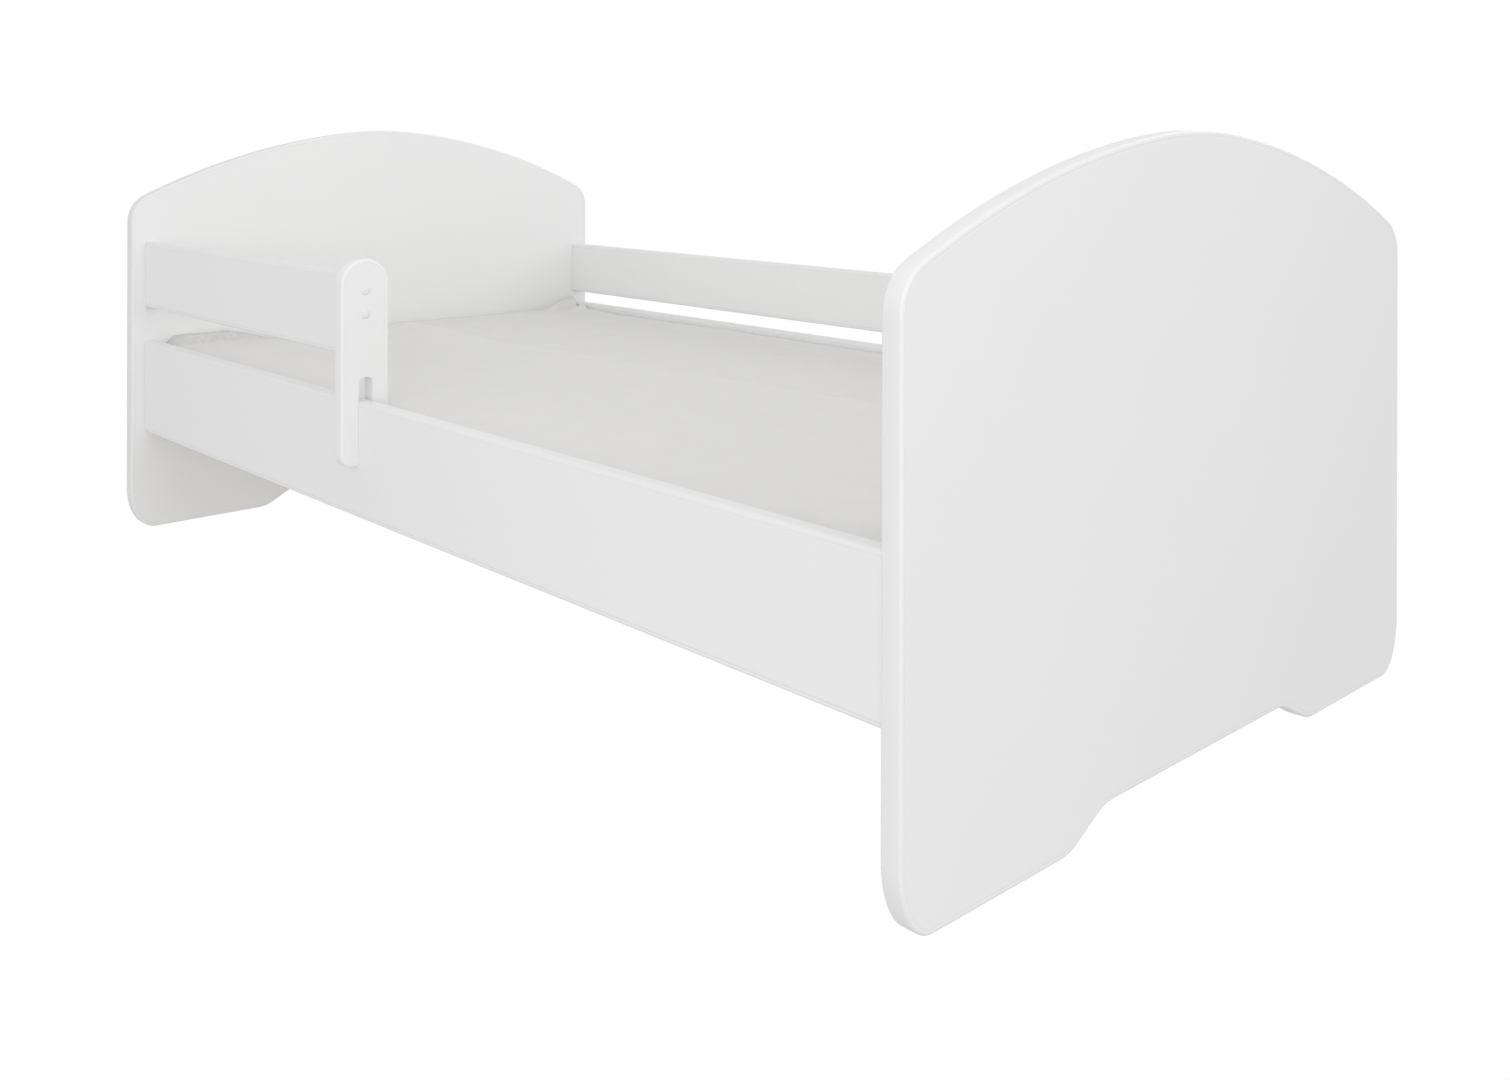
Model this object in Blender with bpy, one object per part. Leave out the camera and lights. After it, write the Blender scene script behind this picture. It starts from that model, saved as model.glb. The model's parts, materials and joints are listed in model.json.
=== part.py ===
"""Child's bed: two arched end panels, side boards, slats, mattress and a lift-off barrier.

Frame: +X runs from the headboard to the footboard, +Y from the open front to the back,
+Z up, with the floor at Z = 0 and the origin under the middle of the whole object.
All sizes are in metres.
"""

import math

import bmesh
import bpy
from mathutils import Matrix, Vector

for old in list(bpy.data.objects):
    bpy.data.objects.remove(old, do_unlink=True)

# ---------------------------------------------------------------- sizes

GAP = 0.0003                      # air left between two pieces that touch
EDGE_RADIUS = 0.003               # rounding of the boards' long edges
EDGE_STEPS = 2

# Mattress and the space that holds it
MATTRESS_LENGTH = 1.600
MATTRESS_WIDTH = 0.800
MATTRESS_THICKNESS = 0.090
MATTRESS_END_CLEARANCE = 0.0025   # at each end
MATTRESS_SIDE_CLEARANCE = 0.0095  # at each side
MATTRESS_EDGE_RADIUS = 0.012

# End panels: the headboard and the footboard have the same outline
PANEL_THICKNESS = 0.022
PANEL_HEIGHT = 0.6387             # at the crown of the arch
CROWN_RADIUS = 0.581
CROWN_HALF_ANGLE = math.radians(5.78)
FLANK_RADIUS = 1.0825
SHOULDER_RADIUS = 0.0464
FOOT_ROUND_WIDTH = 0.039          # the foot's outer corner is a quarter of an ellipse
FOOT_ROUND_HEIGHT = 0.064
FLOOR_CUT_HALF_WIDTH = 0.2212     # at the floor, before its corners are rounded
FLOOR_CUT_HEIGHT = 0.0287
FLOOR_CUT_SLOPE = math.radians(27.4)
FLOOR_CUT_FILLET = 0.055

# Side boards and the guard rail at the back
BOARD_THICKNESS = 0.018
FRONT_BOARD_INSET = 0.021         # from a panel's upright edge to a board's outer face
BACK_BOARD_INSET = 0.0157
SIDE_BOARD_BOTTOM = 0.1554
SIDE_BOARD_HEIGHT = 0.1448
BACK_RAIL_GAP = 0.0215            # between the back board and the guard rail
BACK_RAIL_HEIGHT = 0.0931

# Lift-off barrier at the front
BARRIER_GAP = 0.0548              # between the front board and the barrier rail
BARRIER_HEIGHT = 0.1032
BARRIER_REACH = 0.714             # headboard's inner face to the bracket's outer face
BRACKET_THICKNESS = 0.020
BRACKET_LEG_WIDTH = 0.0225
BRACKET_LEG_RISE = 0.0638         # end of a leg above the lower edge of the front board
BRACKET_CROWN_RISE = 0.019        # above the barrier rail
BRACKET_TOE_RADIUS = 0.015
SLOT_CLEARANCE = 0.00065          # on each side of the front board
SLOT_HEADROOM = 0.0294            # above the front board
SLOT_CORNER_RADIUS = 0.0065
NOTCH_CLEARANCE = 0.003           # mattress to the bracket's rear leg

# Screws through the bracket and their caps
BRACKET_SCREW_FROM_TOP = 0.0202   # upper screw to the top of the barrier rail
BRACKET_SCREW_SPACING = 0.0295
BRACKET_SCREW_GRIP = 0.032        # length in the barrier rail
BRACKET_SCREW_RADIUS = 0.0034
SCREW_HEAD_RADIUS = 0.0048
SCREW_HEAD_HEIGHT = 0.004
SCREW_SOCKET_RADIUS = 0.0023
SCREW_SOCKET_DEPTH = 0.0025
CAP_RADIUS = 0.006
CAP_RISE = 0.0022
CAP_STEM_RADIUS = 0.0019
CAP_STEM_LENGTH = 0.0022
BORE_CLEARANCE = 0.0004           # round a screw, bolt or dowel

# Hanger that holds the barrier's head end: two headed pins in a slotted plate
HANGER_PLATE_THICKNESS = 0.0025
HANGER_PLATE_WIDTH = 0.0134
HANGER_PLATE_TOP_MARGIN = 0.006   # below the top of the barrier rail
HANGER_PIN_RADIUS = 0.0025
HANGER_PIN_HEAD_RADIUS = 0.0048
HANGER_PIN_HEAD_HEIGHT = 0.003
HANGER_PIN_GRIP = 0.012           # length in the headboard
HANGER_PIN_FROM_TOP = 0.032       # upper pin to the top of the barrier rail
HANGER_PIN_SPACING = 0.040
HANGER_CLEARANCE = 0.0004         # round a pin and its head
PLATE_SCREW_FROM_TOP = 0.014
PLATE_SCREW_RADIUS = 0.0017
PLATE_SCREW_HEAD_RADIUS = 0.0033
PLATE_SCREW_HEAD_HEIGHT = 0.0012
PLATE_SCREW_GRIP = 0.020

# Slats, the ledges under them and the webbing that spaces them
LEDGE_RISE = 0.004                # above the lower edge of a side board
LEDGE_HEIGHT = 0.025
LEDGE_DEPTH = 0.020
LEDGE_END_CLEARANCE = 0.020
SLAT_COUNT = 12
SLAT_WIDTH = 0.075
SLAT_THICKNESS = 0.012
SLAT_END_CLEARANCE = 0.004        # to a side board
SLAT_EDGE_RADIUS = 0.002
SLAT_FIELD_MARGIN = 0.010         # first and last slat to a panel
STRAP_WIDTH = 0.025
STRAP_THICKNESS = 0.0012
STRAP_OFFSET = 0.250              # to each side of the middle of the bed
LEDGE_SCREW_POSITIONS = (-0.700, 0.0, 0.700)
LEDGE_SCREW_RADIUS = 0.002
LEDGE_SCREW_HEAD_RADIUS = 0.004
LEDGE_SCREW_HEAD_HEIGHT = 0.0025
LEDGE_SCREW_BITE = 0.012          # length in the side board

# Knock-down fittings between the boards and the end panels
CAM_RADIUS = 0.0073
CAM_PAST_MIDDLE = 0.0035          # inner end of a cam beyond the middle of its board
CAM_SETBACK = 0.034               # cam's axis to the end of its board
CAM_CLEARANCE = 0.0003
CAM_SLOT_PAST_CENTRE = 0.0025
CAM_SLOT_DEPTH = 0.002            # driver slot in the cam's face
CAM_SLOT_WIDTH = 0.0014
BOLT_RADIUS = 0.0034
BOLT_THREAD_RADIUS = 0.0029
BOLT_NECK_RADIUS = 0.0018
BOLT_GRIP = 0.011                 # length in the panel
BOLT_HEAD_HALF_LENGTH = 0.0015
SIDE_CAM_EDGE_MARGIN = 0.034      # from a side board's long edges
RAIL_FITTING_EDGE_MARGIN = 0.026  # from the guard rail's long edges
DOWEL_RADIUS = 0.0039
DOWEL_IN_PANEL = 0.012
DOWEL_IN_BOARD = 0.018
DOWEL_CHAMFER = 0.001

ROUND_STEPS = 12                  # sides of a small round piece
CAM_STEPS = 16

# ---------------------------------------------------------------- derived places

INNER_HALF_LENGTH = MATTRESS_LENGTH / 2 + MATTRESS_END_CLEARANCE
INNER_HALF_WIDTH = MATTRESS_WIDTH / 2 + MATTRESS_SIDE_CLEARANCE
PANEL_HALF_WIDTH = INNER_HALF_WIDTH + BOARD_THICKNESS + (FRONT_BOARD_INSET + BACK_BOARD_INSET) / 2
PANEL_Y = (BACK_BOARD_INSET - FRONT_BOARD_INSET) / 2
BOARD_Y = INNER_HALF_WIDTH + BOARD_THICKNESS / 2
BOARD_HALF_LENGTH = INNER_HALF_LENGTH - GAP
CAM_DEPTH = BOARD_THICKNESS / 2 + CAM_PAST_MIDDLE

SIDE_BOARD_TOP = SIDE_BOARD_BOTTOM + SIDE_BOARD_HEIGHT
BACK_RAIL_BOTTOM = SIDE_BOARD_TOP + BACK_RAIL_GAP
BACK_RAIL_TOP = BACK_RAIL_BOTTOM + BACK_RAIL_HEIGHT
BARRIER_BOTTOM = SIDE_BOARD_TOP + BARRIER_GAP
BARRIER_TOP = BARRIER_BOTTOM + BARRIER_HEIGHT

LEDGE_BOTTOM = SIDE_BOARD_BOTTOM + LEDGE_RISE
LEDGE_TOP = LEDGE_BOTTOM + LEDGE_HEIGHT
SLAT_BOTTOM = LEDGE_TOP + GAP
SLAT_TOP = SLAT_BOTTOM + SLAT_THICKNESS
MATTRESS_BOTTOM = SLAT_TOP + GAP
MATTRESS_TOP = MATTRESS_BOTTOM + MATTRESS_THICKNESS

BRACKET_HALF_WIDTH = BOARD_THICKNESS / 2 + SLOT_CLEARANCE + BRACKET_LEG_WIDTH
BRACKET_OUTER_X = -INNER_HALF_LENGTH + BARRIER_REACH
BRACKET_INNER_X = BRACKET_OUTER_X - BRACKET_THICKNESS
BRACKET_TOP = BARRIER_TOP + BRACKET_CROWN_RISE
BRACKET_LEG_BOTTOM = SIDE_BOARD_BOTTOM + BRACKET_LEG_RISE
SLOT_TOP = SIDE_BOARD_TOP + SLOT_HEADROOM
BARRIER_RAIL_HEAD_X = -INNER_HALF_LENGTH + GAP
BARRIER_RAIL_FOOT_X = BRACKET_INNER_X - GAP

HANGER_PLATE_TOP = BARRIER_TOP - HANGER_PLATE_TOP_MARGIN
HANGER_PIN_TOP_Z = BARRIER_TOP - HANGER_PIN_FROM_TOP
HANGER_SLOT_HALF_WIDTH = HANGER_PIN_RADIUS + HANGER_CLEARANCE
HANGER_GROOVE_HALF_WIDTH = HANGER_PIN_HEAD_RADIUS + HANGER_CLEARANCE
HANGER_HEAD_START = GAP + HANGER_PLATE_THICKNESS + GAP
HANGER_GROOVE_DEPTH = HANGER_HEAD_START + HANGER_PIN_HEAD_HEIGHT + HANGER_CLEARANCE

# The boards are centred on the bed's own empty. The panels reach less far past the boards at the
# back, and the bracket's front leg stands proud of the panels, so the empty is set off the middle
# of the whole object.
LEG_PROUD = max(0.0, BRACKET_HALF_WIDTH - BOARD_THICKNESS / 2 - FRONT_BOARD_INSET)
BED_Y = LEG_PROUD / 2 - PANEL_Y

# ---------------------------------------------------------------- finishes

FINISHES = {
    "white_board": ((0.80, 0.80, 0.80), 0.42, 0.0),
    "mattress_cover": ((0.70, 0.69, 0.68), 0.90, 0.0),
    "pine_slat": ((0.74, 0.56, 0.36), 0.60, 0.0),
    "webbing": ((0.75, 0.74, 0.70), 0.85, 0.0),
    "zinc_fitting": ((0.60, 0.60, 0.61), 0.35, 0.9),
    "steel_fitting": ((0.62, 0.62, 0.63), 0.30, 1.0),
    "beech_dowel": ((0.70, 0.52, 0.34), 0.65, 0.0),
    "white_cap": ((0.82, 0.82, 0.82), 0.40, 0.0),
}


def piece_material(piece_name, finish):
    """A material of the piece's own, in the colour and gloss of one of the finishes."""
    colour, roughness, metallic = FINISHES[finish]
    material = bpy.data.materials.new(piece_name + "_" + finish)
    material.use_nodes = True
    shader = material.node_tree.nodes["Principled BSDF"]
    shader.inputs["Base Color"].default_value = (*colour, 1.0)
    shader.inputs["Roughness"].default_value = roughness
    shader.inputs["Metallic"].default_value = metallic
    return material


# ---------------------------------------------------------------- modelling helpers

def make_empty(name, origin, parent=None):
    """An empty that carries the pieces of one moving body."""
    empty = bpy.data.objects.new(name, None)
    bpy.context.collection.objects.link(empty)
    empty.parent = parent
    empty.location = origin
    return empty


BED = make_empty("bed", (0.0, BED_Y, 0.0))
BARRIER = make_empty("barrier_lift", (BARRIER_RAIL_HEAD_X, -BOARD_Y, BARRIER_BOTTOM), BED)
MATTRESS = make_empty("mattress_lift", (0.0, 0.0, MATTRESS_BOTTOM), BED)


def place(name, bm, at, body=BED, turn=0.0):
    """Turn a bmesh into an object at a point of the bed, spun about Z by turn."""
    mesh = bpy.data.meshes.new(name)
    bm.to_mesh(mesh)
    bm.free()
    obj = bpy.data.objects.new(name, mesh)
    bpy.context.collection.objects.link(obj)
    obj.parent = body
    origin = body.location if body.parent else Vector((0.0, 0.0, 0.0))
    obj.location = Vector(at) - origin
    obj.rotation_euler = (0.0, 0.0, turn)
    return obj


def add_piece(name, bm, at, finish, body=BED, turn=0.0, smooth=False):
    """Place a piece of the bed and give it its material."""
    obj = place(name, bm, at, body, turn)
    obj.data.materials.append(piece_material(name, finish))
    if smooth:
        obj.data.shade_smooth()
        obj.data.set_sharp_from_angle(angle=math.radians(35))
    return obj


def cut(target, bm, at, turn=0.0):
    """Cut a shape out of a piece with a Boolean; the cutter stays as a hidden guide."""
    cutter_name = "{}_cut_{}".format(target.name, len(target.modifiers) + 1)
    cutter = place(cutter_name, bm, at, BED, turn)
    cutter.hide_render = True
    cutter.display_type = 'WIRE'
    boolean = target.modifiers.new(cutter_name, 'BOOLEAN')
    boolean.operation = 'DIFFERENCE'
    boolean.solver = 'EXACT'
    boolean.object = cutter


def box(size):
    """A box of the given size about its own middle."""
    bm = bmesh.new()
    bmesh.ops.create_cube(bm, size=1.0)
    bmesh.ops.scale(bm, vec=Vector(size), verts=bm.verts)
    return bm


def bevel_edges(bm, edges, radius):
    """Round the given edges."""
    bmesh.ops.bevel(bm, geom=edges, offset=radius, segments=EDGE_STEPS, profile=0.5, affect='EDGES')


def round_edges(bm, radius, along=None):
    """Round the box's edges: all of them, or those that run along one axis."""
    def wanted(edge):
        if along is None:
            return True
        run = (edge.verts[1].co - edge.verts[0].co).normalized()
        return abs(run[along]) > 0.99
    edges = [edge for edge in bm.edges if wanted(edge)]
    bevel_edges(bm, edges, radius)
    return bm


def board(size, radius=EDGE_RADIUS):
    """A board that runs along X, with its four long edges rounded."""
    return round_edges(box(size), radius, along=0)


def plate(outline, thickness, radius=0.0):
    """A flat plate in the YZ plane, from its outline, with its rims rounded."""
    bm = bmesh.new()
    corners = [bm.verts.new((-thickness / 2, y, z)) for y, z in outline]
    face = bm.faces.new(corners)
    grown = bmesh.ops.extrude_face_region(bm, geom=[face])
    moved = [part for part in grown["geom"] if isinstance(part, bmesh.types.BMVert)]
    bmesh.ops.translate(bm, vec=(thickness, 0.0, 0.0), verts=moved)
    bmesh.ops.recalc_face_normals(bm, faces=bm.faces)
    if radius > 0.0:
        rims = [e for e in bm.edges if abs(e.verts[0].co.x - e.verts[1].co.x) < thickness / 2]
        bevel_edges(bm, rims, radius)
    return bm


def turned(profile, steps=ROUND_STEPS):
    """A round piece about the X axis, from (x, radius) points that start and end on the axis."""
    bm = bmesh.new()
    points = [bm.verts.new((x, 0.0, radius)) for x, radius in profile]
    lines = [bm.edges.new(pair) for pair in zip(points, points[1:])]
    bmesh.ops.spin(bm, geom=points + lines, cent=(0.0, 0.0, 0.0), axis=(1.0, 0.0, 0.0),
                   angle=2 * math.pi, steps=steps)
    bmesh.ops.remove_doubles(bm, verts=bm.verts, dist=1e-6)
    bmesh.ops.recalc_face_normals(bm, faces=bm.faces)
    return bm


def rod(start, end, radius, steps=ROUND_STEPS):
    """A plain round bar along X."""
    return turned([(start, 0.0), (start, radius), (end, radius), (end, 0.0)], steps)


def screw(sink, head_radius, tip, shank_radius, socket_radius=0.0, socket_depth=0.0):
    """A screw along +X whose head starts a hair under the surface at X = 0."""
    profile = [(GAP, head_radius), (sink, head_radius), (sink, shank_radius),
               (tip - shank_radius, shank_radius), (tip, 0.0)]
    if socket_depth > 0.0:
        floor = GAP + socket_depth
        return turned([(floor, 0.0), (floor, socket_radius), (GAP, socket_radius)] + profile)
    return turned([(GAP, 0.0)] + profile)


def screw_bore(sink, head_radius, depth, shank_radius):
    """The stepped hole for such a screw, with clearance all round."""
    start = -2 * GAP
    floor = sink + BORE_CLEARANCE
    wide = head_radius + BORE_CLEARANCE
    narrow = shank_radius + BORE_CLEARANCE
    return turned([(start, 0.0), (start, wide), (floor, wide), (floor, narrow), (depth, narrow),
                   (depth, 0.0)])


def lie_along_y(bm):
    """Swing a shape made along +X so that it runs along +Y."""
    quarter_turn = Matrix.Rotation(math.pi / 2, 3, 'Z')
    bmesh.ops.rotate(bm, cent=(0.0, 0.0, 0.0), matrix=quarter_turn, verts=bm.verts)
    return bm


def arc(centre, radius, start, end, steps):
    """Points along an arc; angles run anticlockwise from +Y in the YZ plane."""
    angles = [start + (end - start) * step / steps for step in range(steps + 1)]
    return [(centre[0] + radius * math.cos(a), centre[1] + radius * math.sin(a)) for a in angles]


# ---------------------------------------------------------------- end panels

def panel_half_outline():
    """The right half of a panel's outline, from the crown down to the middle of the floor cut."""
    crown = (0.0, PANEL_HEIGHT - CROWN_RADIUS)
    lean = (math.sin(CROWN_HALF_ANGLE), math.cos(CROWN_HALF_ANGLE))
    shift = CROWN_RADIUS - FLANK_RADIUS
    flank = (crown[0] + shift * lean[0], crown[1] + shift * lean[1])
    reach = (PANEL_HALF_WIDTH - SHOULDER_RADIUS - flank[0]) / (FLANK_RADIUS - SHOULDER_RADIUS)
    shoulder_angle = math.asin(reach)
    tuck = FLANK_RADIUS - SHOULDER_RADIUS
    shoulder = (flank[0] + tuck * math.sin(shoulder_angle), flank[1] + tuck * math.cos(shoulder_angle))

    upright = math.pi / 2
    outline = arc(crown, CROWN_RADIUS, upright, upright - CROWN_HALF_ANGLE, 4)[:-1]
    outline += arc(flank, FLANK_RADIUS, upright - CROWN_HALF_ANGLE, upright - shoulder_angle, 12)[:-1]
    outline += arc(shoulder, SHOULDER_RADIUS, upright - shoulder_angle, 0.0, 7)

    foot = (PANEL_HALF_WIDTH - FOOT_ROUND_WIDTH, FOOT_ROUND_HEIGHT)
    for step in range(9):
        angle = -upright * step / 8
        outline.append((foot[0] + FOOT_ROUND_WIDTH * math.cos(angle),
                        foot[1] + FOOT_ROUND_HEIGHT * math.sin(angle)))

    tangent = FLOOR_CUT_FILLET * math.tan(FLOOR_CUT_SLOPE / 2)
    toe = (FLOOR_CUT_HALF_WIDTH + tangent, FLOOR_CUT_FILLET)
    outline += arc(toe, FLOOR_CUT_FILLET, -upright, -upright - FLOOR_CUT_SLOPE, 4)
    top_corner = FLOOR_CUT_HALF_WIDTH - FLOOR_CUT_HEIGHT / math.tan(FLOOR_CUT_SLOPE)
    heel = (top_corner - tangent, FLOOR_CUT_HEIGHT - FLOOR_CUT_FILLET)
    outline += arc(heel, FLOOR_CUT_FILLET, upright - FLOOR_CUT_SLOPE, upright, 4)
    return outline


def panel_outline():
    """Both halves of the outline; the crown point is shared."""
    right = panel_half_outline()
    left = [(-y, z) for y, z in reversed(right[1:])]
    return right + left


def make_end_panel(name, end):
    """A panel with its inner face at the mattress space; end is -1 at the head, +1 at the foot."""
    bm = plate(panel_outline(), PANEL_THICKNESS, EDGE_RADIUS)
    centre_x = end * (INNER_HALF_LENGTH + PANEL_THICKNESS / 2)
    return add_piece(name, bm, (centre_x, PANEL_Y, 0.0), "white_board")


PANELS = {-1: make_end_panel("headboard", -1), 1: make_end_panel("footboard", 1)}

# ---------------------------------------------------------------- boards

side_board_size = (2 * BOARD_HALF_LENGTH, BOARD_THICKNESS, SIDE_BOARD_HEIGHT)
side_board_z = SIDE_BOARD_BOTTOM + SIDE_BOARD_HEIGHT / 2
front_board = add_piece("front_side_board", board(side_board_size), (0.0, -BOARD_Y, side_board_z),
                        "white_board")
back_board = add_piece("back_side_board", board(side_board_size), (0.0, BOARD_Y, side_board_z),
                       "white_board")

back_rail_size = (2 * BOARD_HALF_LENGTH, BOARD_THICKNESS, BACK_RAIL_HEIGHT)
back_rail_z = BACK_RAIL_BOTTOM + BACK_RAIL_HEIGHT / 2
back_rail = add_piece("back_guard_rail", board(back_rail_size), (0.0, BOARD_Y, back_rail_z),
                      "white_board")

# ---------------------------------------------------------------- cams, bolts and dowels
# The side boards' cams are on their inner faces, under the top of the mattress. The guard rail's cams
# are on its outer face, so that nothing shows from the bed's own side.

def make_cam(name, x, y_face, z, end, cam_side):
    """A cam let into a board's face, open on the side that its bolt comes from."""
    cam = add_piece(name, lie_along_y(rod(0.0, CAM_DEPTH, CAM_RADIUS, CAM_STEPS)),
                    (x, y_face - cam_side * GAP, z), "zinc_fitting",
                    turn=math.pi if cam_side > 0 else 0.0, smooth=True)
    slot_half = BOLT_RADIUS + BORE_CLEARANCE
    slot_length = CAM_RADIUS + CAM_SLOT_PAST_CENTRE + 2 * CAM_CLEARANCE
    slot_depth = CAM_DEPTH - BOARD_THICKNESS / 2 + slot_half + 2 * GAP
    slot_x = x + end * (slot_length / 2 - CAM_SLOT_PAST_CENTRE)
    slot_y = y_face - cam_side * (BOARD_THICKNESS / 2 - slot_half + slot_depth / 2)
    cut(cam, box((slot_length, slot_depth, 2 * slot_half)), (slot_x, slot_y, z))
    driver = box((1.4 * CAM_RADIUS, 2 * CAM_SLOT_DEPTH, CAM_SLOT_WIDTH))
    cut(cam, driver, (x, y_face, z))


def make_cam_bolt(name, end, y, z):
    """A bolt screwed into a panel, whose headed end reaches into the cam."""
    neck_start = CAM_SETBACK - CAM_RADIUS - CAM_CLEARANCE
    head_start = CAM_SETBACK - BOLT_HEAD_HALF_LENGTH
    head_end = CAM_SETBACK + BOLT_HEAD_HALF_LENGTH
    profile = [(-BOLT_GRIP, 0.0), (-BOLT_GRIP, BOLT_THREAD_RADIUS), (GAP, BOLT_THREAD_RADIUS),
               (GAP, BOLT_RADIUS), (neck_start, BOLT_RADIUS), (neck_start, BOLT_NECK_RADIUS),
               (head_start, BOLT_NECK_RADIUS),
               (head_start, BOLT_THREAD_RADIUS), (head_end, BOLT_THREAD_RADIUS), (head_end, 0.0)]
    turn = math.pi if end > 0 else 0.0
    add_piece(name, turned(profile), (end * INNER_HALF_LENGTH, y, z), "steel_fitting", turn=turn,
              smooth=True)


def fit_cam_joint(name, target, end, y, z, cam_side):
    """Bore a board and a panel, and put the cam and its bolt in; cam_side is the sign of the cam's face."""
    y_face = y + cam_side * BOARD_THICKNESS / 2
    cam_x = end * (BOARD_HALF_LENGTH - CAM_SETBACK)
    turn = math.pi if end > 0 else 0.0
    seat_radius = CAM_RADIUS + CAM_CLEARANCE
    seat = lie_along_y(rod(-CAM_DEPTH - GAP - CAM_CLEARANCE, CAM_DEPTH, seat_radius, CAM_STEPS))
    cut(target, seat, (cam_x, y_face, z), turn=0.0 if cam_side > 0 else math.pi)
    bore = rod(-2 * GAP, CAM_SETBACK, BOLT_RADIUS + BORE_CLEARANCE)
    cut(target, bore, (end * INNER_HALF_LENGTH, y, z), turn=turn)
    grip = rod(-BOLT_GRIP - BORE_CLEARANCE, 2 * GAP, BOLT_THREAD_RADIUS + BORE_CLEARANCE)
    cut(PANELS[end], grip, (end * INNER_HALF_LENGTH, y, z), turn=turn)
    make_cam(name + "_cam", cam_x, y_face, z, end, cam_side)
    make_cam_bolt(name + "_bolt", end, y, z)


def fit_dowel(name, target, end, y, z):
    """A plain dowel, half in the panel and half in the board's end."""
    turn = math.pi if end > 0 else 0.0
    at = (end * INNER_HALF_LENGTH, y, z)
    low, high = -DOWEL_IN_PANEL, DOWEL_IN_BOARD
    profile = [(low, 0.0), (low, DOWEL_RADIUS - DOWEL_CHAMFER), (low + DOWEL_CHAMFER, DOWEL_RADIUS),
               (high - DOWEL_CHAMFER, DOWEL_RADIUS), (high, DOWEL_RADIUS - DOWEL_CHAMFER), (high, 0.0)]
    bore_radius = DOWEL_RADIUS + BORE_CLEARANCE
    cut(PANELS[end], rod(low - BORE_CLEARANCE, 2 * GAP, bore_radius), at, turn=turn)
    cut(target, rod(-2 * GAP, high + BORE_CLEARANCE, bore_radius), at, turn=turn)
    add_piece(name, turned(profile), at, "beech_dowel", turn=turn, smooth=True)


SIDE_CAM_LEVELS = {"lower": SIDE_BOARD_BOTTOM + SIDE_CAM_EDGE_MARGIN,
                   "upper": SIDE_BOARD_TOP - SIDE_CAM_EDGE_MARGIN}
for end, end_name in ((-1, "head"), (1, "foot")):
    for target, side_name, side_y in ((front_board, "front", -BOARD_Y), (back_board, "back", BOARD_Y)):
        for level_name, level in SIDE_CAM_LEVELS.items():
            joint_name = "{}_{}_{}".format(side_name, end_name, level_name)
            fit_cam_joint(joint_name, target, end, side_y, level, cam_side=-1.0 if side_y > 0 else 1.0)
    fit_cam_joint("back_rail_" + end_name, back_rail, end, BOARD_Y,
                  BACK_RAIL_TOP - RAIL_FITTING_EDGE_MARGIN, cam_side=1.0)
    fit_dowel("back_rail_{}_dowel".format(end_name), back_rail, end, BOARD_Y,
              BACK_RAIL_BOTTOM + RAIL_FITTING_EDGE_MARGIN)

# ---------------------------------------------------------------- ledges, slats and webbing

LEDGE_Y = INNER_HALF_WIDTH - GAP - LEDGE_DEPTH / 2
ledge_size = (2 * (INNER_HALF_LENGTH - LEDGE_END_CLEARANCE), LEDGE_DEPTH, LEDGE_HEIGHT)
LEDGE_Z = (LEDGE_BOTTOM + LEDGE_TOP) / 2


def make_ledge(side_name, side, target):
    """A strip screwed to a side board's inner face, which carries the slat ends."""
    ledge = add_piece(side_name + "_slat_ledge", board(ledge_size, SLAT_EDGE_RADIUS),
                      (0.0, side * LEDGE_Y, LEDGE_Z), "pine_slat")
    turn = -math.pi / 2 if side < 0 else math.pi / 2
    head_y = side * (INNER_HALF_WIDTH - GAP - LEDGE_DEPTH)
    tip = LEDGE_DEPTH + GAP + LEDGE_SCREW_BITE
    head = (LEDGE_SCREW_HEAD_HEIGHT, LEDGE_SCREW_HEAD_RADIUS)
    for number, x in enumerate(LEDGE_SCREW_POSITIONS, start=1):
        at = (x, head_y, LEDGE_Z)
        cut(ledge, screw_bore(*head, LEDGE_DEPTH + 2 * GAP, LEDGE_SCREW_RADIUS), at, turn)
        pilot = rod(LEDGE_DEPTH - GAP, tip + BORE_CLEARANCE, LEDGE_SCREW_RADIUS + BORE_CLEARANCE)
        cut(target, pilot, at, turn)
        add_piece("{}_ledge_screw_{}".format(side_name, number), screw(*head, tip, LEDGE_SCREW_RADIUS),
                  at, "steel_fitting", turn=turn, smooth=True)


make_ledge("front", -1, front_board)
make_ledge("back", 1, back_board)

SLAT_SPAN = INNER_HALF_LENGTH - SLAT_FIELD_MARGIN - SLAT_WIDTH / 2
SLAT_LENGTH = 2 * (INNER_HALF_WIDTH - SLAT_END_CLEARANCE)
for number in range(SLAT_COUNT):
    slat_x = -SLAT_SPAN + 2 * SLAT_SPAN * number / (SLAT_COUNT - 1)
    slat = round_edges(box((SLAT_WIDTH, SLAT_LENGTH, SLAT_THICKNESS)), SLAT_EDGE_RADIUS, along=1)
    add_piece("slat_{:02d}".format(number + 1), slat, (slat_x, 0.0, SLAT_BOTTOM + SLAT_THICKNESS / 2),
              "pine_slat")

strap_z = SLAT_BOTTOM - GAP - STRAP_THICKNESS / 2
for side, side_name in ((-1, "front"), (1, "back")):
    strap = box((2 * (SLAT_SPAN + SLAT_WIDTH / 2), STRAP_WIDTH, STRAP_THICKNESS))
    add_piece(side_name + "_slat_strap", strap, (0.0, side * STRAP_OFFSET, strap_z), "webbing")

# ---------------------------------------------------------------- mattress

mattress = add_piece("mattress", round_edges(box((MATTRESS_LENGTH, MATTRESS_WIDTH, MATTRESS_THICKNESS)),
                                             MATTRESS_EDGE_RADIUS),
                     (0.0, 0.0, (MATTRESS_BOTTOM + MATTRESS_TOP) / 2), "mattress_cover", body=MATTRESS)

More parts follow.
